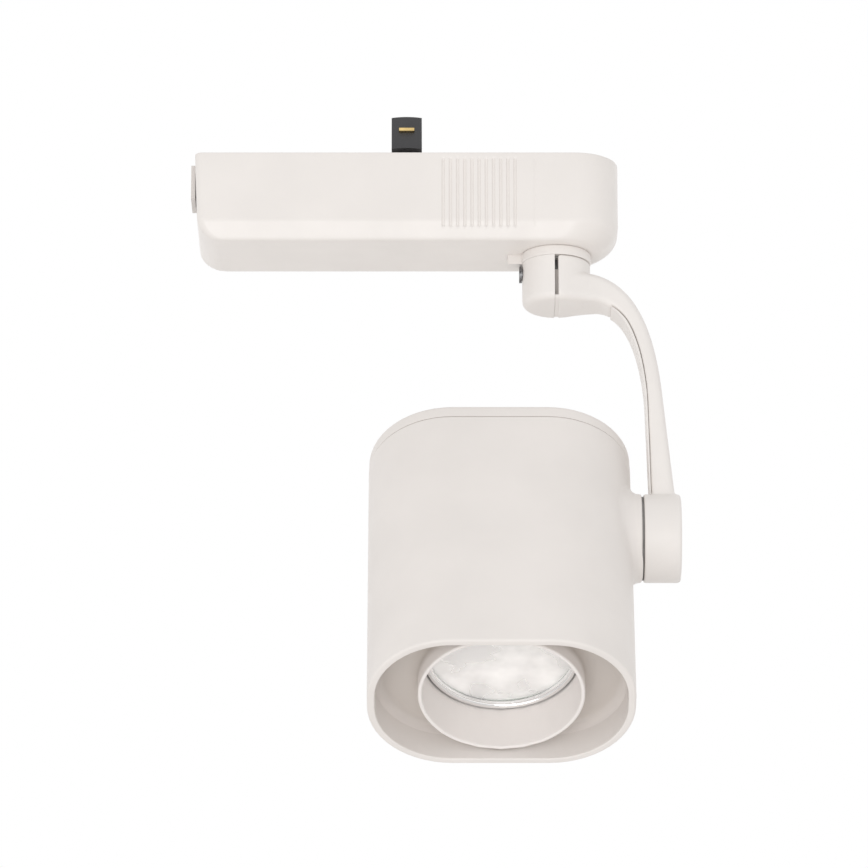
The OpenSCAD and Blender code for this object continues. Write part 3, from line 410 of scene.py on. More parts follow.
def quartz(name):
    """Clear capsule glass with a little haze."""
    material, tree, shader = material_nodes(name)
    shader.inputs["IOR"].default_value = 1.46
    shader.inputs["Transmission Weight"].default_value = 0.9
    haze = noise_node(tree, 500, 2)
    link(tree, mix_colours(tree, haze, (0.95, 0.96, 0.97), (0.82, 0.83, 0.85)), shader.inputs["Base Color"])
    link(tree, remap(tree, haze, 0.3, 0.7, 0.05, 0.16), shader.inputs["Roughness"])
    return material


def mirror(name):
    """Dichroic reflector coating: silver with a weak violet and green drift."""
    material, tree, shader = material_nodes(name)
    shader.inputs["Metallic"].default_value = 0.9
    drift = noise_node(tree, 90, 2)
    colours = mix_colours(tree, remap(tree, drift, 0.35, 0.65, 0, 1), (0.93, 0.91, 0.95), (0.88, 0.93, 0.9))
    link(tree, colours, shader.inputs["Base Color"])
    link(tree, remap(tree, drift, 0.3, 0.7, 0.12, 0.24), shader.inputs["Roughness"])
    return material


def matt(name, colour, roughness, other=None):
    """Dull solid such as ceramic, board, ferrite or rubber, with a second tone in patches."""
    material, tree, shader = material_nodes(name)
    second = other or tuple(c * 0.8 for c in colour)
    patch = noise_node(tree, 300, 4)
    base = mix_colours(tree, remap(tree, patch, 0.45, 0.6, 0, 1), colour, second)
    link(tree, base, shader.inputs["Base Color"])
    link(tree, remap(tree, patch, 0.3, 0.7, roughness - 0.06, roughness + 0.06), shader.inputs["Roughness"])
    bump(tree, shader, noise_node(tree, 1500, 3), 0.02, 0.6)
    return material


# Seams in the coated materials are darkened partly as dirt and partly as painted shade.
materials = {
    "box_plastic": coated("box_plastic", (0.86, 0.822, 0.792), 0.40, 3200, 0.012, seam_dirt_and_shade=0.3, coat=0.12),
    "latch_plastic": coated("latch_plastic", (0.70, 0.665, 0.64), 0.42, 3200, 0.012, coat=0.1),
    "black_plastic": coated("black_plastic", (0.035, 0.035, 0.038), 0.5, 2600, 0.02, seam_dirt_and_shade=0.2),
    "head_paint": coated("head_paint", (0.85, 0.81, 0.78), 0.50, 2300, 0.022),
    "arm_paint": coated("arm_paint", (0.86, 0.825, 0.797), 0.46, 2300, 0.018),
    # The baffle's plate is painted darker as shade through its vertex values.
    "bezel_plastic": coated("bezel_plastic", (0.90, 0.857, 0.832), 0.42, 3200, 0.012, seam_dirt_and_shade=0.1, depth=0.62),
    "chrome": chrome("chrome"),
    "lamp_glass": hazy_glass("lamp_glass"),
    "lamp_mirror": mirror("lamp_mirror"),
    "quartz": quartz("quartz"),
    "ceramic": matt("ceramic", (0.80, 0.76, 0.66), 0.65),
    "steel": metal("steel", (0.66, 0.66, 0.67), 0.30),
    "dark_steel": metal("dark_steel", (0.22, 0.22, 0.225), 0.40),
    "brass": metal("brass", (0.74, 0.55, 0.24), 0.26, tarnish=0.7),
    "fibre": matt("fibre", (0.24, 0.235, 0.23), 0.75),
    "circuit_board": matt("circuit_board", (0.02, 0.12, 0.05), 0.4, other=(0.05, 0.2, 0.09)),
    "ferrite": matt("ferrite", (0.045, 0.045, 0.05), 0.6),
    "copper_wire": metal("copper_wire", (0.55, 0.22, 0.08), 0.3),
    "capacitor_sleeve": matt("capacitor_sleeve", (0.02, 0.03, 0.11), 0.3),
    "transistor_case": matt("transistor_case", (0.02, 0.02, 0.02), 0.55),
    "mains_wire": matt("mains_wire", (0.12, 0.05, 0.025), 0.5),
    "lamp_wire": matt("lamp_wire", (0.72, 0.71, 0.68), 0.5),
}

# ---- Gear box shell ----

box_low, box_high = box_mm("gear_box_shell")
BOX_NOSE = box_high.x
BOX_TAIL = box_low.x
BOX_FOOT = box_low.z
BOX_HALF = box_high.y
BOX_WALL = 2.0
NOSE_R = 14.5
TAIL_R = 2.5
NOSE_FILLET = 9.0
TAIL_FILLET = 8.0
TAIL_LEAN = 1.2
STRIP_H = 6.0
STRIP_LEAN = 2.3
GROOVE_COUNT = 11
GROOVE_PITCH = 2.37
GROOVE_X = -37.4
GROOVE_W = 1.1
GROOVE_DEPTH = 0.4
LINE_SHARE = 0.35
GROOVE_TOP = -2.0
GROOVE_FOOT = -26.0
LINE_X = -7.2
PLAIN_SIDE_XS = [-100 + 6 * i for i in range(10)]
CREASE_R = 0.9
FOOT_R = 0.9
RIM_R = 0.35
STEM_HOLE_R = 5.1
LATCH_OPENING = ((BOX_TAIL - 3, -4.2, -13.2), (BOX_TAIL + 5, 4.2, -5.8))
POST_R = 3.0
POST_TOP = -2.05
PILOT_R = 1.4
PILOT_FOOT = -12


def tail_x(z):
    """Leaning tail face, turning under the box at its foot."""
    lean = math.atan(TAIL_LEAN / -BOX_FOOT)
    face = BOX_TAIL - z * math.tan(lean)
    centre_z = BOX_FOOT + TAIL_FILLET
    centre_x = BOX_TAIL - centre_z * math.tan(lean) + TAIL_FILLET / math.cos(lean)
    if z > centre_z - TAIL_FILLET * math.sin(lean):
        return face
    drop = min(centre_z - z, TAIL_FILLET)
    return centre_x - math.sqrt(TAIL_FILLET ** 2 - drop ** 2)


def nose_x(z):
    """Upright nose, turning under the box at its foot."""
    centre_z = BOX_FOOT + NOSE_FILLET
    if z > centre_z:
        return BOX_NOSE
    drop = min(centre_z - z, NOSE_FILLET)
    return BOX_NOSE - NOSE_FILLET + math.sqrt(NOSE_FILLET ** 2 - drop ** 2)


def side_y(z):
    """Half depth of the box: upright, then leaning in below the crease, with both bends rounded."""
    crease = BOX_FOOT + STRIP_H
    slope = STRIP_LEAN / STRIP_H
    below = crease - z
    if below < -CREASE_R:
        half = BOX_HALF
    elif below < CREASE_R:
        half = BOX_HALF - slope * (below + CREASE_R) ** 2 / (4 * CREASE_R)
    else:
        half = BOX_HALF - slope * below
    rise = z - BOX_FOOT
    if rise < FOOT_R:
        half -= FOOT_R - math.sqrt(max(FOOT_R ** 2 - (FOOT_R - rise) ** 2, 0))
    return half


def groove_xs():
    """Places along a long side where the outline needs a point, with the groove depth share there."""
    xs = []
    for i in range(GROOVE_COUNT):
        middle = GROOVE_X + i * GROOVE_PITCH
        for offset, share in ((-0.5, 0), (-0.38, 0.55), (-0.22, 1), (0.22, 1), (0.38, 0.55), (0.5, 0)):
            xs.append((middle + offset * GROOVE_W, share))
    for offset, share in ((-0.45, 0), (-0.15, LINE_SHARE), (0.15, LINE_SHARE), (0.45, 0)):
        xs.append((LINE_X + offset * GROOVE_W, share))
    return xs + [(LINE_X + 1.5, 0)]


def groove_share(z):
    """Grooves fade in and out over half a millimetre at their ends."""
    fade = 0.5
    return max(0.0, min(1.0, (GROOVE_TOP - z) / fade, (z - GROOVE_FOOT) / fade))


def box_ring(z, inset=0.0, groove=0.0):
    """Outline of the box at height z, moved in by inset, with grooves of the given share of their depth."""
    level = max(z, BOX_FOOT + inset)
    tail, nose = tail_x(level) + inset, nose_x(level) - inset
    half = side_y(level) - inset
    r_nose, r_tail = NOSE_R - inset, max(TAIL_R - inset, 0.4)
    points = []
    for i in range(9):
        a = math.radians(180 + 90 * i / 8)
        points.append((tail + r_tail * (1 + math.cos(a)), -half + r_tail * (1 + math.sin(a)), z))
    sides = [(x, 0) for x in PLAIN_SIDE_XS] + groove_xs()
    points += [(x, -half + groove * share * GROOVE_DEPTH, z) for x, share in sides]
    for i in range(17):
        a = math.radians(270 + 90 * i / 16)
        points.append((nose - r_nose + r_nose * math.cos(a), -half + r_nose * (1 + math.sin(a)), z))
    back = [(x, -y, z) for x, y, z in reversed(points)]
    return points + back


def box_levels():
    """Heights of the outer rings, closest where the form turns."""
    foot = BOX_FOOT
    levels = [foot + FOOT_R * (1 - math.cos(math.radians(15 * i))) for i in range(6)]
    levels += [foot + 1.3, foot + 2, foot + 3, foot + 4]
    crease = foot + STRIP_H
    levels += [crease + CREASE_R * (i / 3 - 1) for i in range(7)]
    levels += [GROOVE_FOOT + 0.01, GROOVE_FOOT + 0.25, GROOVE_FOOT + 0.5]
    levels += [-24.2, -23, -22, -21, -20, -16, -12, -8, -4]
    levels += [GROOVE_TOP - 0.5, GROOVE_TOP - 0.25, GROOVE_TOP - 0.01, -1, -RIM_R]
    return sorted(set(round(level, 4) for level in levels))


def gear_box_shell():
    """Moulded tray with grip grooves, screw posts, the stem's hole and the latch's opening."""
    levels = box_levels()
    rings = [box_ring(z, groove=groove_share(z)) for z in levels]
    rings += [box_ring(-RIM_R + dz, inset) for inset, dz in ((0.1, 0.25), (RIM_R, RIM_R))]
    rings += [box_ring(0, BOX_WALL - 0.2), box_ring(-0.2, BOX_WALL)]
    inner_levels = [-4, -20, -24, BOX_FOOT + BOX_WALL + 2, BOX_FOOT + BOX_WALL]
    rings += [box_ring(z, BOX_WALL) for z in inner_levels]
    shell = mesh_object("gear_box_moulding", loft(rings))
    floor = BOX_FOOT + BOX_WALL
    cut(shell, lathe([(STEM_HOLE_R, BOX_FOOT - 2), (STEM_HOLE_R, floor + 1)], 48), block(*LATCH_OPENING))
    post = lathe([(POST_R, floor - 0.3), (POST_R, POST_TOP - 0.25), (POST_R - 0.3, POST_TOP),
                  (PILOT_R, POST_TOP), (PILOT_R, PILOT_FOOT)], 32)
    for centre in solids_of("lid_screws"):
        fuse(shell, moved(post, Matrix.Translation((centre.x, centre.y, 0))))
    even_normals(shell)
    finish_piece(shell, "gear_box", "box_plastic", "gear_box_shell", sharp_deg=50)


def solids_of(node, place=UPRIGHT):
    """Centres of a node's separate solids, found by which of its vertices hang together."""
    back = place.inverted()
    mesh = nodes[node].data
    parent = list(range(len(mesh.vertices)))

    def root(i):
        while parent[i] != i:
            parent[i] = parent[parent[i]]
            i = parent[i]
        return i

    seen = {}
    for vertex in mesh.vertices:
        key = tuple(round(c, 7) for c in vertex.co)
        if key in seen:
            parent[root(vertex.index)] = root(seen[key])
        seen[key] = vertex.index
    for edge in mesh.edges:
        a, b = edge.vertices
        parent[root(a)] = root(b)
    groups = {}
    for vertex in mesh.vertices:
        groups.setdefault(root(vertex.index), []).append(back @ (vertex.co / MM))
    centres = []
    for points in groups.values():
        low = Vector([min(p[i] for p in points) for i in range(3)])
        high = Vector([max(p[i] for p in points) for i in range(3)])
        centres.append((low + high) / 2)
    return sorted(centres, key=lambda c: (round(c.x, 2), round(c.y, 2)))


# ---- Lamp head ----

shell_low, shell_high = box_mm("head_shell", HEAD)
HEAD_HALF_W = -shell_low.x
HEAD_HALF_D = shell_high.y
HEAD_R = 27.5
HEAD_WALL = 2.5
MOUTH_Z = shell_low.z
SEAM_Z = shell_high.z
cover_low, cover_high = box_mm("back_cover", HEAD)
BACK_Z = cover_high.z
BOSS_FACE = shell_high.x
BOSS_R = 14.5
BOSS_BORE_R = 5.1
ARC_STEPS = 14


def head_ring(inset, z, steps=ARC_STEPS):
    """Rounded rectangle of the head's outline, moved in by inset."""
    half_w, half_d = HEAD_HALF_W - inset, HEAD_HALF_D - inset
    r = max(HEAD_R - inset, 0.3)
    half_w, half_d = max(half_w, r + 0.2), max(half_d, r + 0.2)
    points = []
    for corner, (sx, sy) in enumerate(((1, 1), (-1, 1), (-1, -1), (1, -1))):
        for i in range(steps + 1):
            a = math.radians(90 * corner + 90 * i / steps)
            points.append((sx * (half_w - r) + r * math.cos(a), sy * (half_d - r) + r * math.sin(a), z))
        if corner in (0, 2):
            for i in range(1, 4):
                x = sx * (half_w - r) * (1 - i / 2)
                points.append((x, sy * half_d, z))
    return points


def surface_x(y):
    """X of the head's side at depth y."""
    over = max(abs(y) - (HEAD_HALF_D - HEAD_R), 0)
    return HEAD_HALF_W - HEAD_R + math.sqrt(max(HEAD_R ** 2 - over ** 2, 0))


def head_boss():
    """Pivot boss whose root flows into the curved side of the shell.

    Each row is a ring of one radius, either at one x or at a height above the shell's side.
    """
    fillet, edge, under = 3.4, 0.5, 1.2
    back = HEAD_HALF_W - 5.5
    count = 96
    rows = []
    for i in range(9):
        a = math.radians(90 * i / 8)
        sunk = 0.06 if i == 0 else 0
        rows.append((BOSS_R + fillet * (1 - math.sin(a)), None, fillet * (1 - math.cos(a)) - sunk))
    rows += [(BOSS_R, BOSS_FACE - edge, None)]
    rows += [(BOSS_R - edge * 0.3, BOSS_FACE - edge * 0.3, None), (BOSS_R - edge, BOSS_FACE, None)]
    rows += [(BOSS_BORE_R, BOSS_FACE, None), (BOSS_BORE_R, back, None)]
    rows += [(BOSS_R - 0.5, back, None), (BOSS_R + 0.4, None, -under), (BOSS_R + fillet - 0.6, None, -under)]
    rings = []
    for radius, x, above in rows:
        ring = []
        for i in range(count):
            a = 2 * math.pi * i / count
            y, z = radius * math.cos(a), radius * math.sin(a)
            ring.append((x if x is not None else surface_x(y) + above, y, z))
        rings.append(ring)
    return loft(rings, closed=True)


def head_shell():
    """Tube of the lamp head with a rounded lip at the mouth, and its pivot boss."""
    lip, inner_lip, top = 0.85, 0.5, 0.14
    profile = quarter((lip, MOUTH_Z + lip), lip, 180, 270)
    profile += quarter((HEAD_WALL - inner_lip, MOUTH_Z + inner_lip), inner_lip, 270, 360)
    profile += [(HEAD_WALL, MOUTH_Z + 6), (HEAD_WALL, SEAM_Z - 0.2), (HEAD_WALL - 0.2, SEAM_Z)]
    profile += [(top, SEAM_Z), (0.04, SEAM_Z - 0.04), (0, SEAM_Z - top), (0, SEAM_Z - 3), (0, MOUTH_Z + 4)]
    rings = [head_ring(inset, z) for inset, z in profile]
    shell = mesh_object("head_casting", joined(loft(rings, closed=True), head_boss()), HEAD)
    even_normals(shell)
    finish_piece(shell, "head", "head_paint", "head_shell", sharp_deg=50)


def back_cover():
    """Cap that closes the head's back, with a fine groove against the shell and countersunk screw holes."""
    fit = HEAD_WALL + 0.15
    top_wall, skirt = 2.5, 1.5
    gap, groove, side, edge = 0.32, 1.0, 0.12, 1.9
    under = BACK_Z - top_wall
    profile = [(20, under), (fit + skirt, under), (fit + skirt, cover_low.z), (fit, cover_low.z)]
    profile += [(fit, SEAM_Z + 0.02), (groove, SEAM_Z + 0.02), (groove - 0.05, SEAM_Z + gap)]
    profile += [(side + 0.14, SEAM_Z + gap), (side + 0.04, SEAM_Z + gap + 0.04), (side, SEAM_Z + gap + 0.14)]
    profile += [(side, SEAM_Z + 1.2), (side, BACK_Z - edge)]
    profile += quarter((side + edge, BACK_Z - edge), edge, 180, 90, 8)[1:]
    profile += [(6, BACK_Z), (20, BACK_Z)]
    cover = mesh_object("back_cap", loft([head_ring(inset, z) for inset, z in profile]), HEAD)
    hole_r, sink_r, sink_depth = 1.6, 3.05, 1.65
    sink = lathe([(hole_r, BACK_Z - 4), (hole_r, BACK_Z - sink_depth),
                  (sink_r, BACK_Z - 0.05), (sink_r, BACK_Z + 1)], 40)
    for centre in solids_of("back_cover_screws", HEAD):
        cut(cover, moved(sink, Matrix.Translation((centre.x, centre.y, 0))), place=HEAD)
    even_normals(cover)
    finish_piece(cover, "head", "head_paint", "back_cover", sharp_deg=50)


# ---- Baffle, glare tube and lamp ----

bezel_low, bezel_high = box_mm("lamp_bezel", HEAD)
ring_low, ring_high = box_mm("lamp_ring", HEAD)
PLATE_FRONT = MOUTH_Z + 13.8
PLATE_T = 1.5
TUBE_R = 26.8
TUBE_WALL = 1.3
TUBE_EDGE = bezel_low.z
TUBE_END = bezel_high.z
TUBE_SHOULDER = -46.1
SHOULDER_W = 1.4


def to_circle(ring, radius, z):
    """The ring's points drawn onto a circle, each along its own direction."""
    return [(radius * x / math.hypot(x, y), radius * y / math.hypot(x, y), z) for x, y, _ in ring]


def lamp_bezel():
    """Plate and glare tube in one moulding, with a cove along the shell's wall and another round the tube.

    The plate's vertices, but for the first few rings at the wall, carry the full value of painted recess shade.
    """
    outline = head_ring(HEAD_WALL + 0.03, 0, 20)

    def round_at(radius, z):
        return to_circle(outline, radius, z)

    def between(share, z):
        """Ring at a share of the way from the shell's wall to the tube."""
        tube = round_at(TUBE_R, z)
        return [tuple(Vector((x, y, z)).lerp(Vector(p), share)) for (x, y, _), p in zip(outline, tube)]

    rim = TUBE_WALL / 2
    inside = TUBE_R - TUBE_WALL
    cove, cove_share, skin = 3.5, 0.3, 0.12
    cove_z = PLATE_FRONT - skin - cove
    rings = [between(cove_share * (1 + x), cove_z + cove * y) for x, y in quarter((0, 0), 1, 180, 90, 8)]
    rings += [between(1 - cove_share * (1 - x), cove_z + cove * y) for x, y in quarter((0, 0), 1, 90, 0, 8)]
    plate_rings = len(rings)
    rings.append(round_at(TUBE_R, TUBE_EDGE + 4))
    for r, z in quarter((TUBE_R - rim, TUBE_EDGE + rim), rim, 0, -180, 8):
        rings.append(round_at(r, z))
    rings += [round_at(inside, TUBE_EDGE + 4), round_at(inside, TUBE_SHOULDER)]
    rings += [round_at(inside - SHOULDER_W, TUBE_SHOULDER), round_at(inside - SHOULDER_W, TUBE_END)]
    rings += [round_at(TUBE_R, TUBE_END)]
    rings += [round_at(TUBE_R, PLATE_FRONT + PLATE_T), between(0, PLATE_FRONT + PLATE_T)]
    bezel = mesh_object("glare_baffle", loft(rings, closed=True), HEAD)
    # Painted shade: these vertex values darken the plate as if it lay deep in shadow.
    depth_shade = bezel.data.attributes.new("depth_shade", "FLOAT", "POINT")
    shaded_from = 6
    for i, point in enumerate(depth_shade.data):
        ring = i // len(outline)
        point.value = min(ring / shaded_from, 1) if ring < plate_rings else 0
    even_normals(bezel)
    finish_piece(bezel, "head", "bezel_plastic", "lamp_bezel", sharp_deg=50)


def lamp_ring():
    """Retaining ring: a bright band whose section is a little squarer than a circle."""
    radius = (ring_high.x - ring_low.x) / 2
    rod = (ring_high.z - ring_low.z) / 2
    mid_z = (ring_low.z + ring_high.z) / 2
    squareness = 0.8
    profile = []
    for x, z, _ in circle(1, 0, 20):
        out = math.copysign(abs(x) ** squareness, x)
        up = math.copysign(abs(z) ** squareness, z)
        profile.append((radius - rod + rod * out, mid_z + rod * up))
    band = mesh_object("bright_ring", lathe(profile, 160, closed=True), HEAD)
    finish_piece(band, "head", "chrome", "lamp_ring", sharp_deg=60)


def lamp_glass():
    """Front glass, flat behind and slightly domed in front."""
    low, high = box_mm("lamp_glass", HEAD)
    radius = high.x - 0.02
    dome = 0.25

    def front(r):
        return low.z + dome * (r / radius) ** 2

    profile = [(0.4, high.z), (radius * 0.5, high.z), (radius - 0.2, high.z), (radius, high.z - 0.2)]
    profile += [(radius, front(radius) + 0.15), (radius - 0.15, front(radius))]
    profile += [(radius * f, front(radius * f)) for f in (0.85, 0.7, 0.5, 0.3, 0.15)] + [(0.4, low.z)]
    glass = mesh_object("front_glass", lathe(profile), HEAD)
    finish_piece(glass, "head", "lamp_glass", "lamp_glass", sharp_deg=40)


def lamp_reflector():
    """Glass bowl with rings of facets on its inside."""
    low, high = box_mm("lamp_reflector", HEAD)
    rim_r, neck_r, glass_r = high.x, 7.5, 23.6
    wall, facet_depth, chamfer = 1.3, 0.16, 0.2
    rim_z = low.z + 3.3
    top = low.z + 1.2
    rate = (glass_r ** 2 - neck_r ** 2) / (high.z - low.z)
    count, per_facet = 144, 6
    rows, rows_per_facet = 30, 3

    def bowl(z):
        return math.sqrt(neck_r ** 2 + rate * (high.z - z))

    profile = [(rim_r, rim_z), (rim_r, low.z + chamfer), (rim_r - chamfer, low.z)]
    profile += [(glass_r + 0.05, low.z), (glass_r + 0.05, top)]
    rings = [circle(r, z, count) for r, z in profile]
    for i in range(rows + 1):
        z = top + (high.z - top) * i / rows
        ring = []
        for j in range(count):
            a = 2 * math.pi * j / count
            across = math.sin(math.pi * (j % per_facet) / per_facet)
            r = bowl(z) + facet_depth * across * math.sin(math.pi * (i % rows_per_facet) / rows_per_facet)
            ring.append((r * math.cos(a), r * math.sin(a), z))
        rings.append(ring)
    for f in (1, 0.75, 0.5, 0.25, 0.1, 0.0):
        z = rim_z + (high.z - rim_z) * f
        rings.append(circle(bowl(z) + wall, z, count))
    reflector = mesh_object("faceted_bowl", loft(rings, closed=True), HEAD)
    finish_piece(reflector, "head", "lamp_mirror", "lamp_reflector", sharp_deg=40)


# ---- Arm ----

HUB_R = 11.25
HUB_TOP = -33.35
HUB_FOOT = -48.5
HUB_FILLET = 2.5
SPLIT_X = 0.45
SPLIT_W = 1.1
ARM_TOP = HUB_TOP - 5
ARM_FOOT = HUB_FOOT + 0.2
ARM_HALF = 5.6
ARM_LEAVE = 4.0
ARM_REACH = 30.0
COVER_START = 0.2
SEAT_SHARE = 0.19
SEAM_TIP = 0.25
SEAM_RAMP = 0.35
SEAM_TAPER = 0.65
TAPER_START = 0.7
LIP_Y = 7.3
LIP_T = 0.45
ARM_EDGE = 2.3
KNUCKLE_LOW = 27.95
KNUCKLE_HIGH = box_mm("arm")[1].x
KNUCKLE_R = 14.5
HUB_CAVITY_R = 8
STEM_R = 5.05
WIRE_CAVITY_R = 10.5
CAP_SEAT_R = 11.5
VOXEL = 0.4
SMOOTH_ROUNDS = 5
ARM_END_Z = PIVOT.z + KNUCKLE_R - 2
OUTER = [(10.5, ARM_TOP), (28, ARM_TOP - 1.7), (32.5, -62), (34.3, -77.2)]
INNER = [(12, ARM_FOOT), (22, ARM_FOOT), (27.2, -62), (28.7, -80.4)]
OUTER_END = (38.4, ARM_END_Z)
INNER_END = (29.9, ARM_END_Z)


def bezier(p, t):
    """Point at t on a cubic curve with four control points in the plane of X and Z."""
    u = 1 - t
    return Vector([u ** 3 * p[0][i] + 3 * u * u * t * p[1][i] + 3 * u * t * t * p[2][i] + t ** 3 * p[3][i]
                   for i in range(2)])


def arm_edges(t):
    """Outer and inner edge of the arm. t runs from 0 to 1 on the bend and from 1 to 2 on the shank."""
    if t <= 1:
        return bezier(OUTER, t), bezier(INNER, t)
    f = t - 1
    return Vector(OUTER[3]).lerp(Vector(OUTER_END), f), Vector(INNER[3]).lerp(Vector(INNER_END), f)


def arm_half(x):
    """Half width: the hub's own round, then a parabola that leaves it smoothly and flattens at the waist."""
    at_hub = math.sqrt(HUB_R ** 2 - min(x, ARM_LEAVE) ** 2)
    flare = (max(ARM_REACH - x, 0) / (ARM_REACH - ARM_LEAVE)) ** 2
    return at_hub if x < ARM_LEAVE else ARM_HALF + (at_hub - ARM_HALF) * flare


def seam_at(share, t, start):
    """Share of the arm's thickness that the cover takes at t: a thin tip, a ramp up, then a slow taper."""
    taper = 1 - SEAM_TAPER * max(t - TAPER_START, 0) / (2 - TAPER_START)
    return share * min(SEAM_TIP + (t - start) / (1 - start) / SEAM_RAMP, 1) * taper


def section(low, high, half, edge):
    """Rounded rectangle across the arm, from point low to point high in the plane of X and Z."""
    along = (high - low).normalized()
    middle = (low + high) / 2
    a = (high - low).length / 2
    b = half if half is not None else arm_half(middle.x)
    r = min(edge, a - 0.02, b - 0.02)
    points = []
    for corner, (su, sv) in enumerate(((1, 1), (-1, 1), (-1, -1), (1, -1))):
        for i in range(6):
            angle = math.radians(90 * corner + 18 * i)
            u = su * (a - r) + r * math.cos(angle)
            v = sv * (b - r) + r * math.sin(angle)
            points.append((middle.x + along.x * u, v, middle.y + along.y * u))
    return points


def arm_section(t, low_share, high_share, edge, half=None):
    """Section of the arm at t, between two shares of its thickness."""
    outer, inner = arm_edges(t)
    return section(inner.lerp(outer, low_share), inner.lerp(outer, high_share), half, edge)


def arm_root(x):
    """Section of the arm's straight root, inside and beside the hub."""
    return section(Vector((x, ARM_FOOT)), Vector((x, ARM_TOP)), None, ARM_EDGE)


def spread(first, last, count):
    """Evenly spaced values, both ends included."""
    return [first + (last - first) * i / count for i in range(count + 1)]


ARM_STEPS = spread(0, 1, 28) + spread(1, 2, 10)[1:]


def along_x(skin, x=0.0):
    """Turns a skin that stands along Z so that it lies along the tilt axis."""
    return moved(skin, Matrix.Translation((x, 0, PIVOT.z)) @ Matrix.Rotation(math.pi / 2, 4, "Y"))


def hub_skin():
    """The whole hub, before it is split."""
    chamfer = 0.35
    profile = [(0.5, HUB_FOOT)]
    profile += quarter((HUB_R - HUB_FILLET, HUB_FOOT + HUB_FILLET), HUB_FILLET, 270, 360, 8)
    profile += [(HUB_R, HUB_TOP - chamfer), (HUB_R - chamfer, HUB_TOP), (0.5, HUB_TOP)]
    return lathe(profile)


def knuckle_skin(length):
    """Knuckle disc, crisp towards the head and rounded on its outer face."""
    edge, inner_edge = 1.1, 0.3
    profile = [(0.5, 0), (KNUCKLE_R - inner_edge, 0), (KNUCKLE_R, inner_edge)]
    profile += quarter((KNUCKLE_R - edge, length - edge), edge, 0, 90, 6) + [(0.5, length)]
    return lathe(profile)


def bore(radius, low, high):
    """Round hole from low to high."""
    return lathe([(radius, low), (radius, high)], 64)


def split_lips():
    """Side and bottom lips in the hub's cavity that lap behind the split."""
    low_x, high_x = -1.5, 3
    foot, top, floor_t = HUB_FOOT + 1.5, HUB_TOP - 4, 0.6
    lips = [block((low_x, side * LIP_Y - LIP_T / 2, foot), (high_x, side * LIP_Y + LIP_T / 2, top))
            for side in (-1, 1)]
    return lips + [block((low_x, -LIP_Y, foot), (high_x, LIP_Y, foot + floor_t))]


def split_web():
    """Thin web that closes the split round the hub's foot, just under the surface."""
    sunk, wall, last_deg = 0.3, 0.9, 325
    half = quarter((HUB_R - HUB_FILLET, HUB_FOOT + HUB_FILLET), HUB_FILLET - sunk, 270, last_deg, 8)
    half.append((HUB_R - HUB_FILLET, HUB_FOOT + sunk + wall))
    outline = half + [(-y, z) for y, z in reversed(half)]
    return loft([[(x, y, z) for y, z in outline] for x in (SPLIT_X - SPLIT_W + 0.05, SPLIT_X + 0.6)])


def arm():
    """Half hub, curved arm and knuckle in one casting, hollow for the wires, with the cover's seat cut in."""
    root = [arm_root(x) for x in (2, ARM_LEAVE, 5.5, 7, 8.5, 10)]
    body = mesh_object("arm_casting", loft(root + [arm_section(t, 0, 1, ARM_EDGE) for t in ARM_STEPS]))
    seat_steps = spread(COVER_START, 1, 20) + spread(1, 2.2, 8)[1:]
    cut(body, loft([arm_section(t, -0.5, seam_at(SEAT_SHARE, t, COVER_START), 0.05, 20) for t in seat_steps]))
    hub = mesh_object("hub_half", hub_skin())
    cut(hub, block((-20, -20, -60), (SPLIT_X, 20, -20)))
    combine(body, hub, "UNION")
    length = KNUCKLE_HIGH - KNUCKLE_LOW
    fuse(body, along_x(knuckle_skin(length), KNUCKLE_LOW))
    channel_steps = spread(0.02, 1, 20) + spread(1, 1.9, 8)[1:]
    cut(body, bore(HUB_CAVITY_R, HUB_FOOT + 2, HUB_TOP - 6), bore(STEM_R, HUB_TOP - 7, HUB_TOP + 1),
        along_x(bore(WIRE_CAVITY_R, 5, length - 1), KNUCKLE_LOW),
        along_x(bore(CAP_SEAT_R, length - 1.5, length + 1), KNUCKLE_LOW),
        along_x(bore(STEM_R, -1, 6), KNUCKLE_LOW),
        loft([arm_section(t, 0.3, 0.72, 0.05, 3) for t in channel_steps]))
    soften(body, VOXEL, SMOOTH_ROUNDS)
    lip = mesh_object("split_lips", joined(*split_lips(), split_web()))
    for part in (body, lip):
        shade(part, 60)
    with bpy.context.temp_override(active_object=body, selected_editable_objects=[body, lip], object=body):
        bpy.ops.object.join()
    finish_piece(body, "arm", "arm_paint", "arm", sharp_deg=60)


def arm_cover():
    """Strip over the cable channel. Its seam is open at the bend and closes down to a hair by the knuckle."""
    start, sunk, edge = COVER_START + 0.02, 0.016, 0.4
    open_share, shut_share = 0.162, 0.184
    open_trim, shut_trim = 0.12, 0.03
    rings = []
    for t in spread(start, 1, 24) + spread(1, 2, 8)[1:]:
        closing = min(max(t - TAPER_START, 0) / 0.5, 1)
        share = open_share + (shut_share - open_share) * closing
        trim = open_trim + (shut_trim - open_trim) * closing
        half = arm_half(arm_edges(t)[1].x) - trim
        rings.append(arm_section(t, sunk, seam_at(share, t, start), edge, half))
    strip = mesh_object("channel_cover", loft(rings))
    clear_r = KNUCKLE_R + 0.1
    cut(strip, along_x(lathe([(clear_r, -6), (clear_r, 16)], 128), KNUCKLE_LOW))
    even_normals(strip)
    finish_piece(strip, "arm", "arm_paint", "arm_cover", sharp_deg=50)


# ---- Latch spring ----

SPRING_R = 2.2
WIRE_R = 0.35
SPRING_TURNS = 6


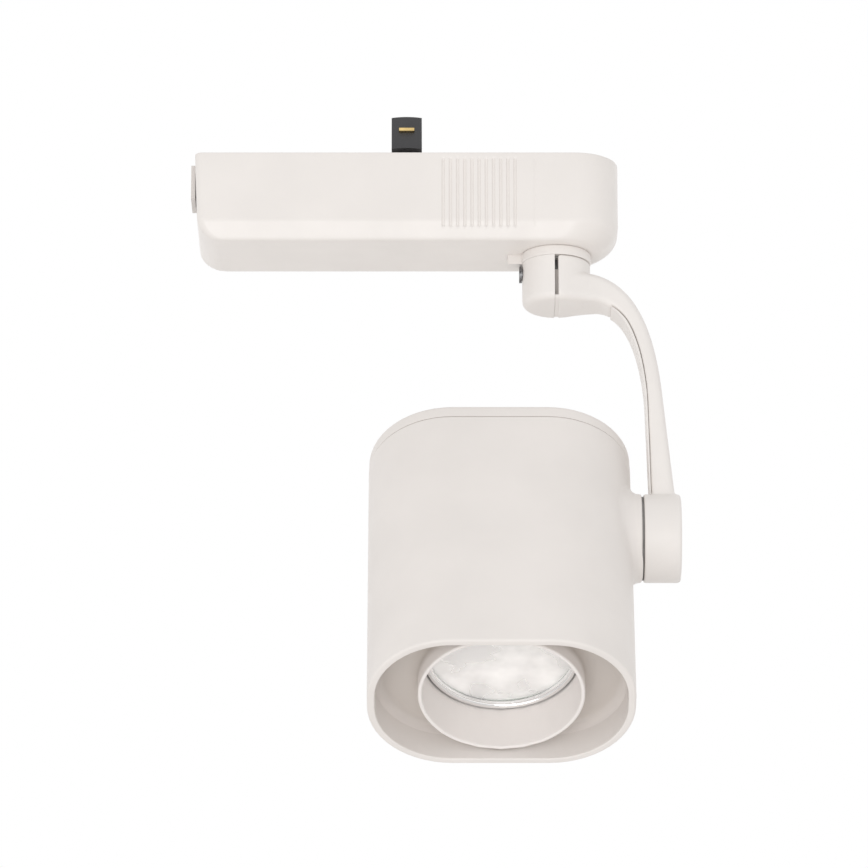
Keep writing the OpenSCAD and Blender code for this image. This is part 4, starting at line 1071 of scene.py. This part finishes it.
def latch_spring():
    """Coil with a closed turn at each end, built at its rest length; it is not made to shorten as the latch is
    pulled down.
    """
    low, high = box_mm("latch_spring")
    centre_x = (low.x + high.x) / 2
    per_turn, around = 40, 10
    height = high.z - low.z - 2 * WIRE_R
    turns = SPRING_TURNS + 2
    end_share = 0.08
    rings = []
    for i in range(turns * per_turn + 1):
        turn = i / per_turn
        rise = min(max(turn - 1, 0), SPRING_TURNS) / SPRING_TURNS
        ends = min(turn, 1) + max(turn - turns + 1, 0)
        z = low.z + WIRE_R + height * (end_share * ends + (1 - 2 * end_share) * rise)
        a = 2 * math.pi * turn
        out = Vector((math.cos(a), math.sin(a), 0))
        middle = Vector((centre_x, 0, z)) + out * SPRING_R
        rings.append([middle + WIRE_R * (out * math.cos(2 * math.pi * j / around)
                                         + Vector((0, 0, math.sin(2 * math.pi * j / around))))
                      for j in range(around)])
    coil = mesh_object("coil_spring", loft(rings))
    finish_piece(coil, "latch", "steel", "latch_spring", sharp_deg=60)
    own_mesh(coil)


# ---- Small parts that keep the CAD's shape ----

EDGE_BREAK_MM = {
    "gear_box_lid": 0.15,
    "swivel_collar": 0.0,
    "swivel_cover": 0.25,
    "release_latch": 0.25,
    "lock_screw": 0.15,
    "pivot_cap": 0.2,
    "friction_washer": 0.05,
    "adapter_neck": 0.3,
}
USUAL_EDGE_BREAK_MM = 0.1


def carried_over():
    """Materials and broken edges for every CAD node that is still shown."""
    slot_of = {part["node"]: part["material_slot"] for part in frame["record"]["subparts"]}
    for name, obj in nodes.items():
        dress(obj, materials[slot_of[name]])
        width = EDGE_BREAK_MM.get(name, USUAL_EDGE_BREAK_MM)
        if width and not obj.hide_render:
            bevel = obj.modifiers.new("edge_break", "BEVEL")
            bevel.width = width * MM
            bevel.segments = 2
            bevel.limit_method = "ANGLE"
            bevel.angle_limit = math.radians(40)
            bevel.use_clamp_overlap = True


gear_box_shell()
head_shell()
back_cover()
lamp_bezel()
lamp_ring()
lamp_glass()
lamp_reflector()
arm()
arm_cover()
latch_spring()
carried_over()

# ---- Stage, light and camera ----

FLOOR_Z = -2.2
FLOOR_SIZE = 12.0


def pale_floor():
    """Plain pale floor, far enough below that the object also shows from underneath."""
    half = FLOOR_SIZE / 2
    corners = [(-half, -half, FLOOR_Z), (half, -half, FLOOR_Z), (half, half, FLOOR_Z), (-half, half, FLOOR_Z)]
    mesh = bpy.data.meshes.new("floor")
    mesh.from_pydata(corners, [], [(0, 1, 2, 3)])
    floor = bpy.data.objects.new("floor", mesh)
    bpy.context.scene.collection.objects.link(floor)
    material, tree, shader = material_nodes("pale_floor")
    grain = noise_node(tree, 6, 3)
    link(tree, mix_colours(tree, grain, (0.88, 0.87, 0.86), (0.84, 0.83, 0.82)), shader.inputs["Base Color"])
    shader.inputs["Roughness"].default_value = 0.7
    dress(floor, material)
    floor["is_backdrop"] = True


def white_world(seen, cast, mirrored):
    """White behind the object, a softer white as its light, and a bright one in mirrors and glass."""
    world = bpy.data.worlds.new("studio")
    bpy.context.scene.world = world
    world.use_nodes = True
    tree = world.node_tree
    tree.nodes.clear()
    output = tree.nodes.new("ShaderNodeOutputWorld")
    path = tree.nodes.new("ShaderNodeLightPath")
    mix = tree.nodes.new("ShaderNodeMixShader")
    either = tree.nodes.new("ShaderNodeMath")
    either.operation = "MAXIMUM"
    link(tree, path.outputs["Is Glossy Ray"], either.inputs[0])
    link(tree, path.outputs["Is Transmission Ray"], either.inputs[1])
    light = tree.nodes.new("ShaderNodeBackground")
    back = tree.nodes.new("ShaderNodeBackground")
    back.inputs["Color"].default_value = (seen, seen, seen, 1)
    light.inputs["Color"].default_value = (1.0, 0.992, 0.985, 1)
    link(tree, remap(tree, either.outputs["Value"], 0, 1, cast, mirrored), light.inputs["Strength"])
    link(tree, path.outputs["Is Camera Ray"], mix.inputs["Fac"])
    link(tree, light.outputs["Background"], mix.inputs[1])
    link(tree, back.outputs["Background"], mix.inputs[2])
    link(tree, mix.outputs["Shader"], output.inputs["Surface"])


def soft_light(name, place, target, size, power):
    """Round area light that looks at the target."""
    data = bpy.data.lights.new(name, "AREA")
    data.shape = "DISK"
    data.size = size
    data.energy = power
    obj = bpy.data.objects.new(name, data)
    obj.location = place
    obj.rotation_euler = (Vector(target) - Vector(place)).to_track_quat("-Z", "Y").to_euler()
    bpy.context.scene.collection.objects.link(obj)


CAMERA_ELEVATION = math.radians(-18.4)
CAMERA_DISTANCE = 2.066
CAMERA_LENS = 262.0
CAMERA_SENSOR = 36


def camera():
    """Camera that looks up at the middle of the object, which it returns."""
    low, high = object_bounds()
    target = (Vector(low) + Vector(high)) / 2
    away = Vector((0, -math.cos(CAMERA_ELEVATION), math.sin(CAMERA_ELEVATION)))
    data = bpy.data.cameras.new("camera")
    data.lens = CAMERA_LENS
    data.sensor_width = CAMERA_SENSOR
    obj = bpy.data.objects.new("camera", data)
    obj.location = target + away * CAMERA_DISTANCE
    obj.rotation_euler = (-away).to_track_quat("-Z", "Y").to_euler()
    bpy.context.scene.collection.objects.link(obj)
    bpy.context.scene.camera = obj
    return target


middle = camera()
pale_floor()
white_world(seen=1.0, cast=0.78, mirrored=1.2)
soft_light("key", middle + Vector((-0.15, -1.9, -0.6)), middle, size=0.9, power=7.5)
soft_light("low", middle + Vector((-0.5, -1.2, -1.45)), middle, size=1.2, power=5)
bpy.context.scene.view_settings.view_transform = "Standard"
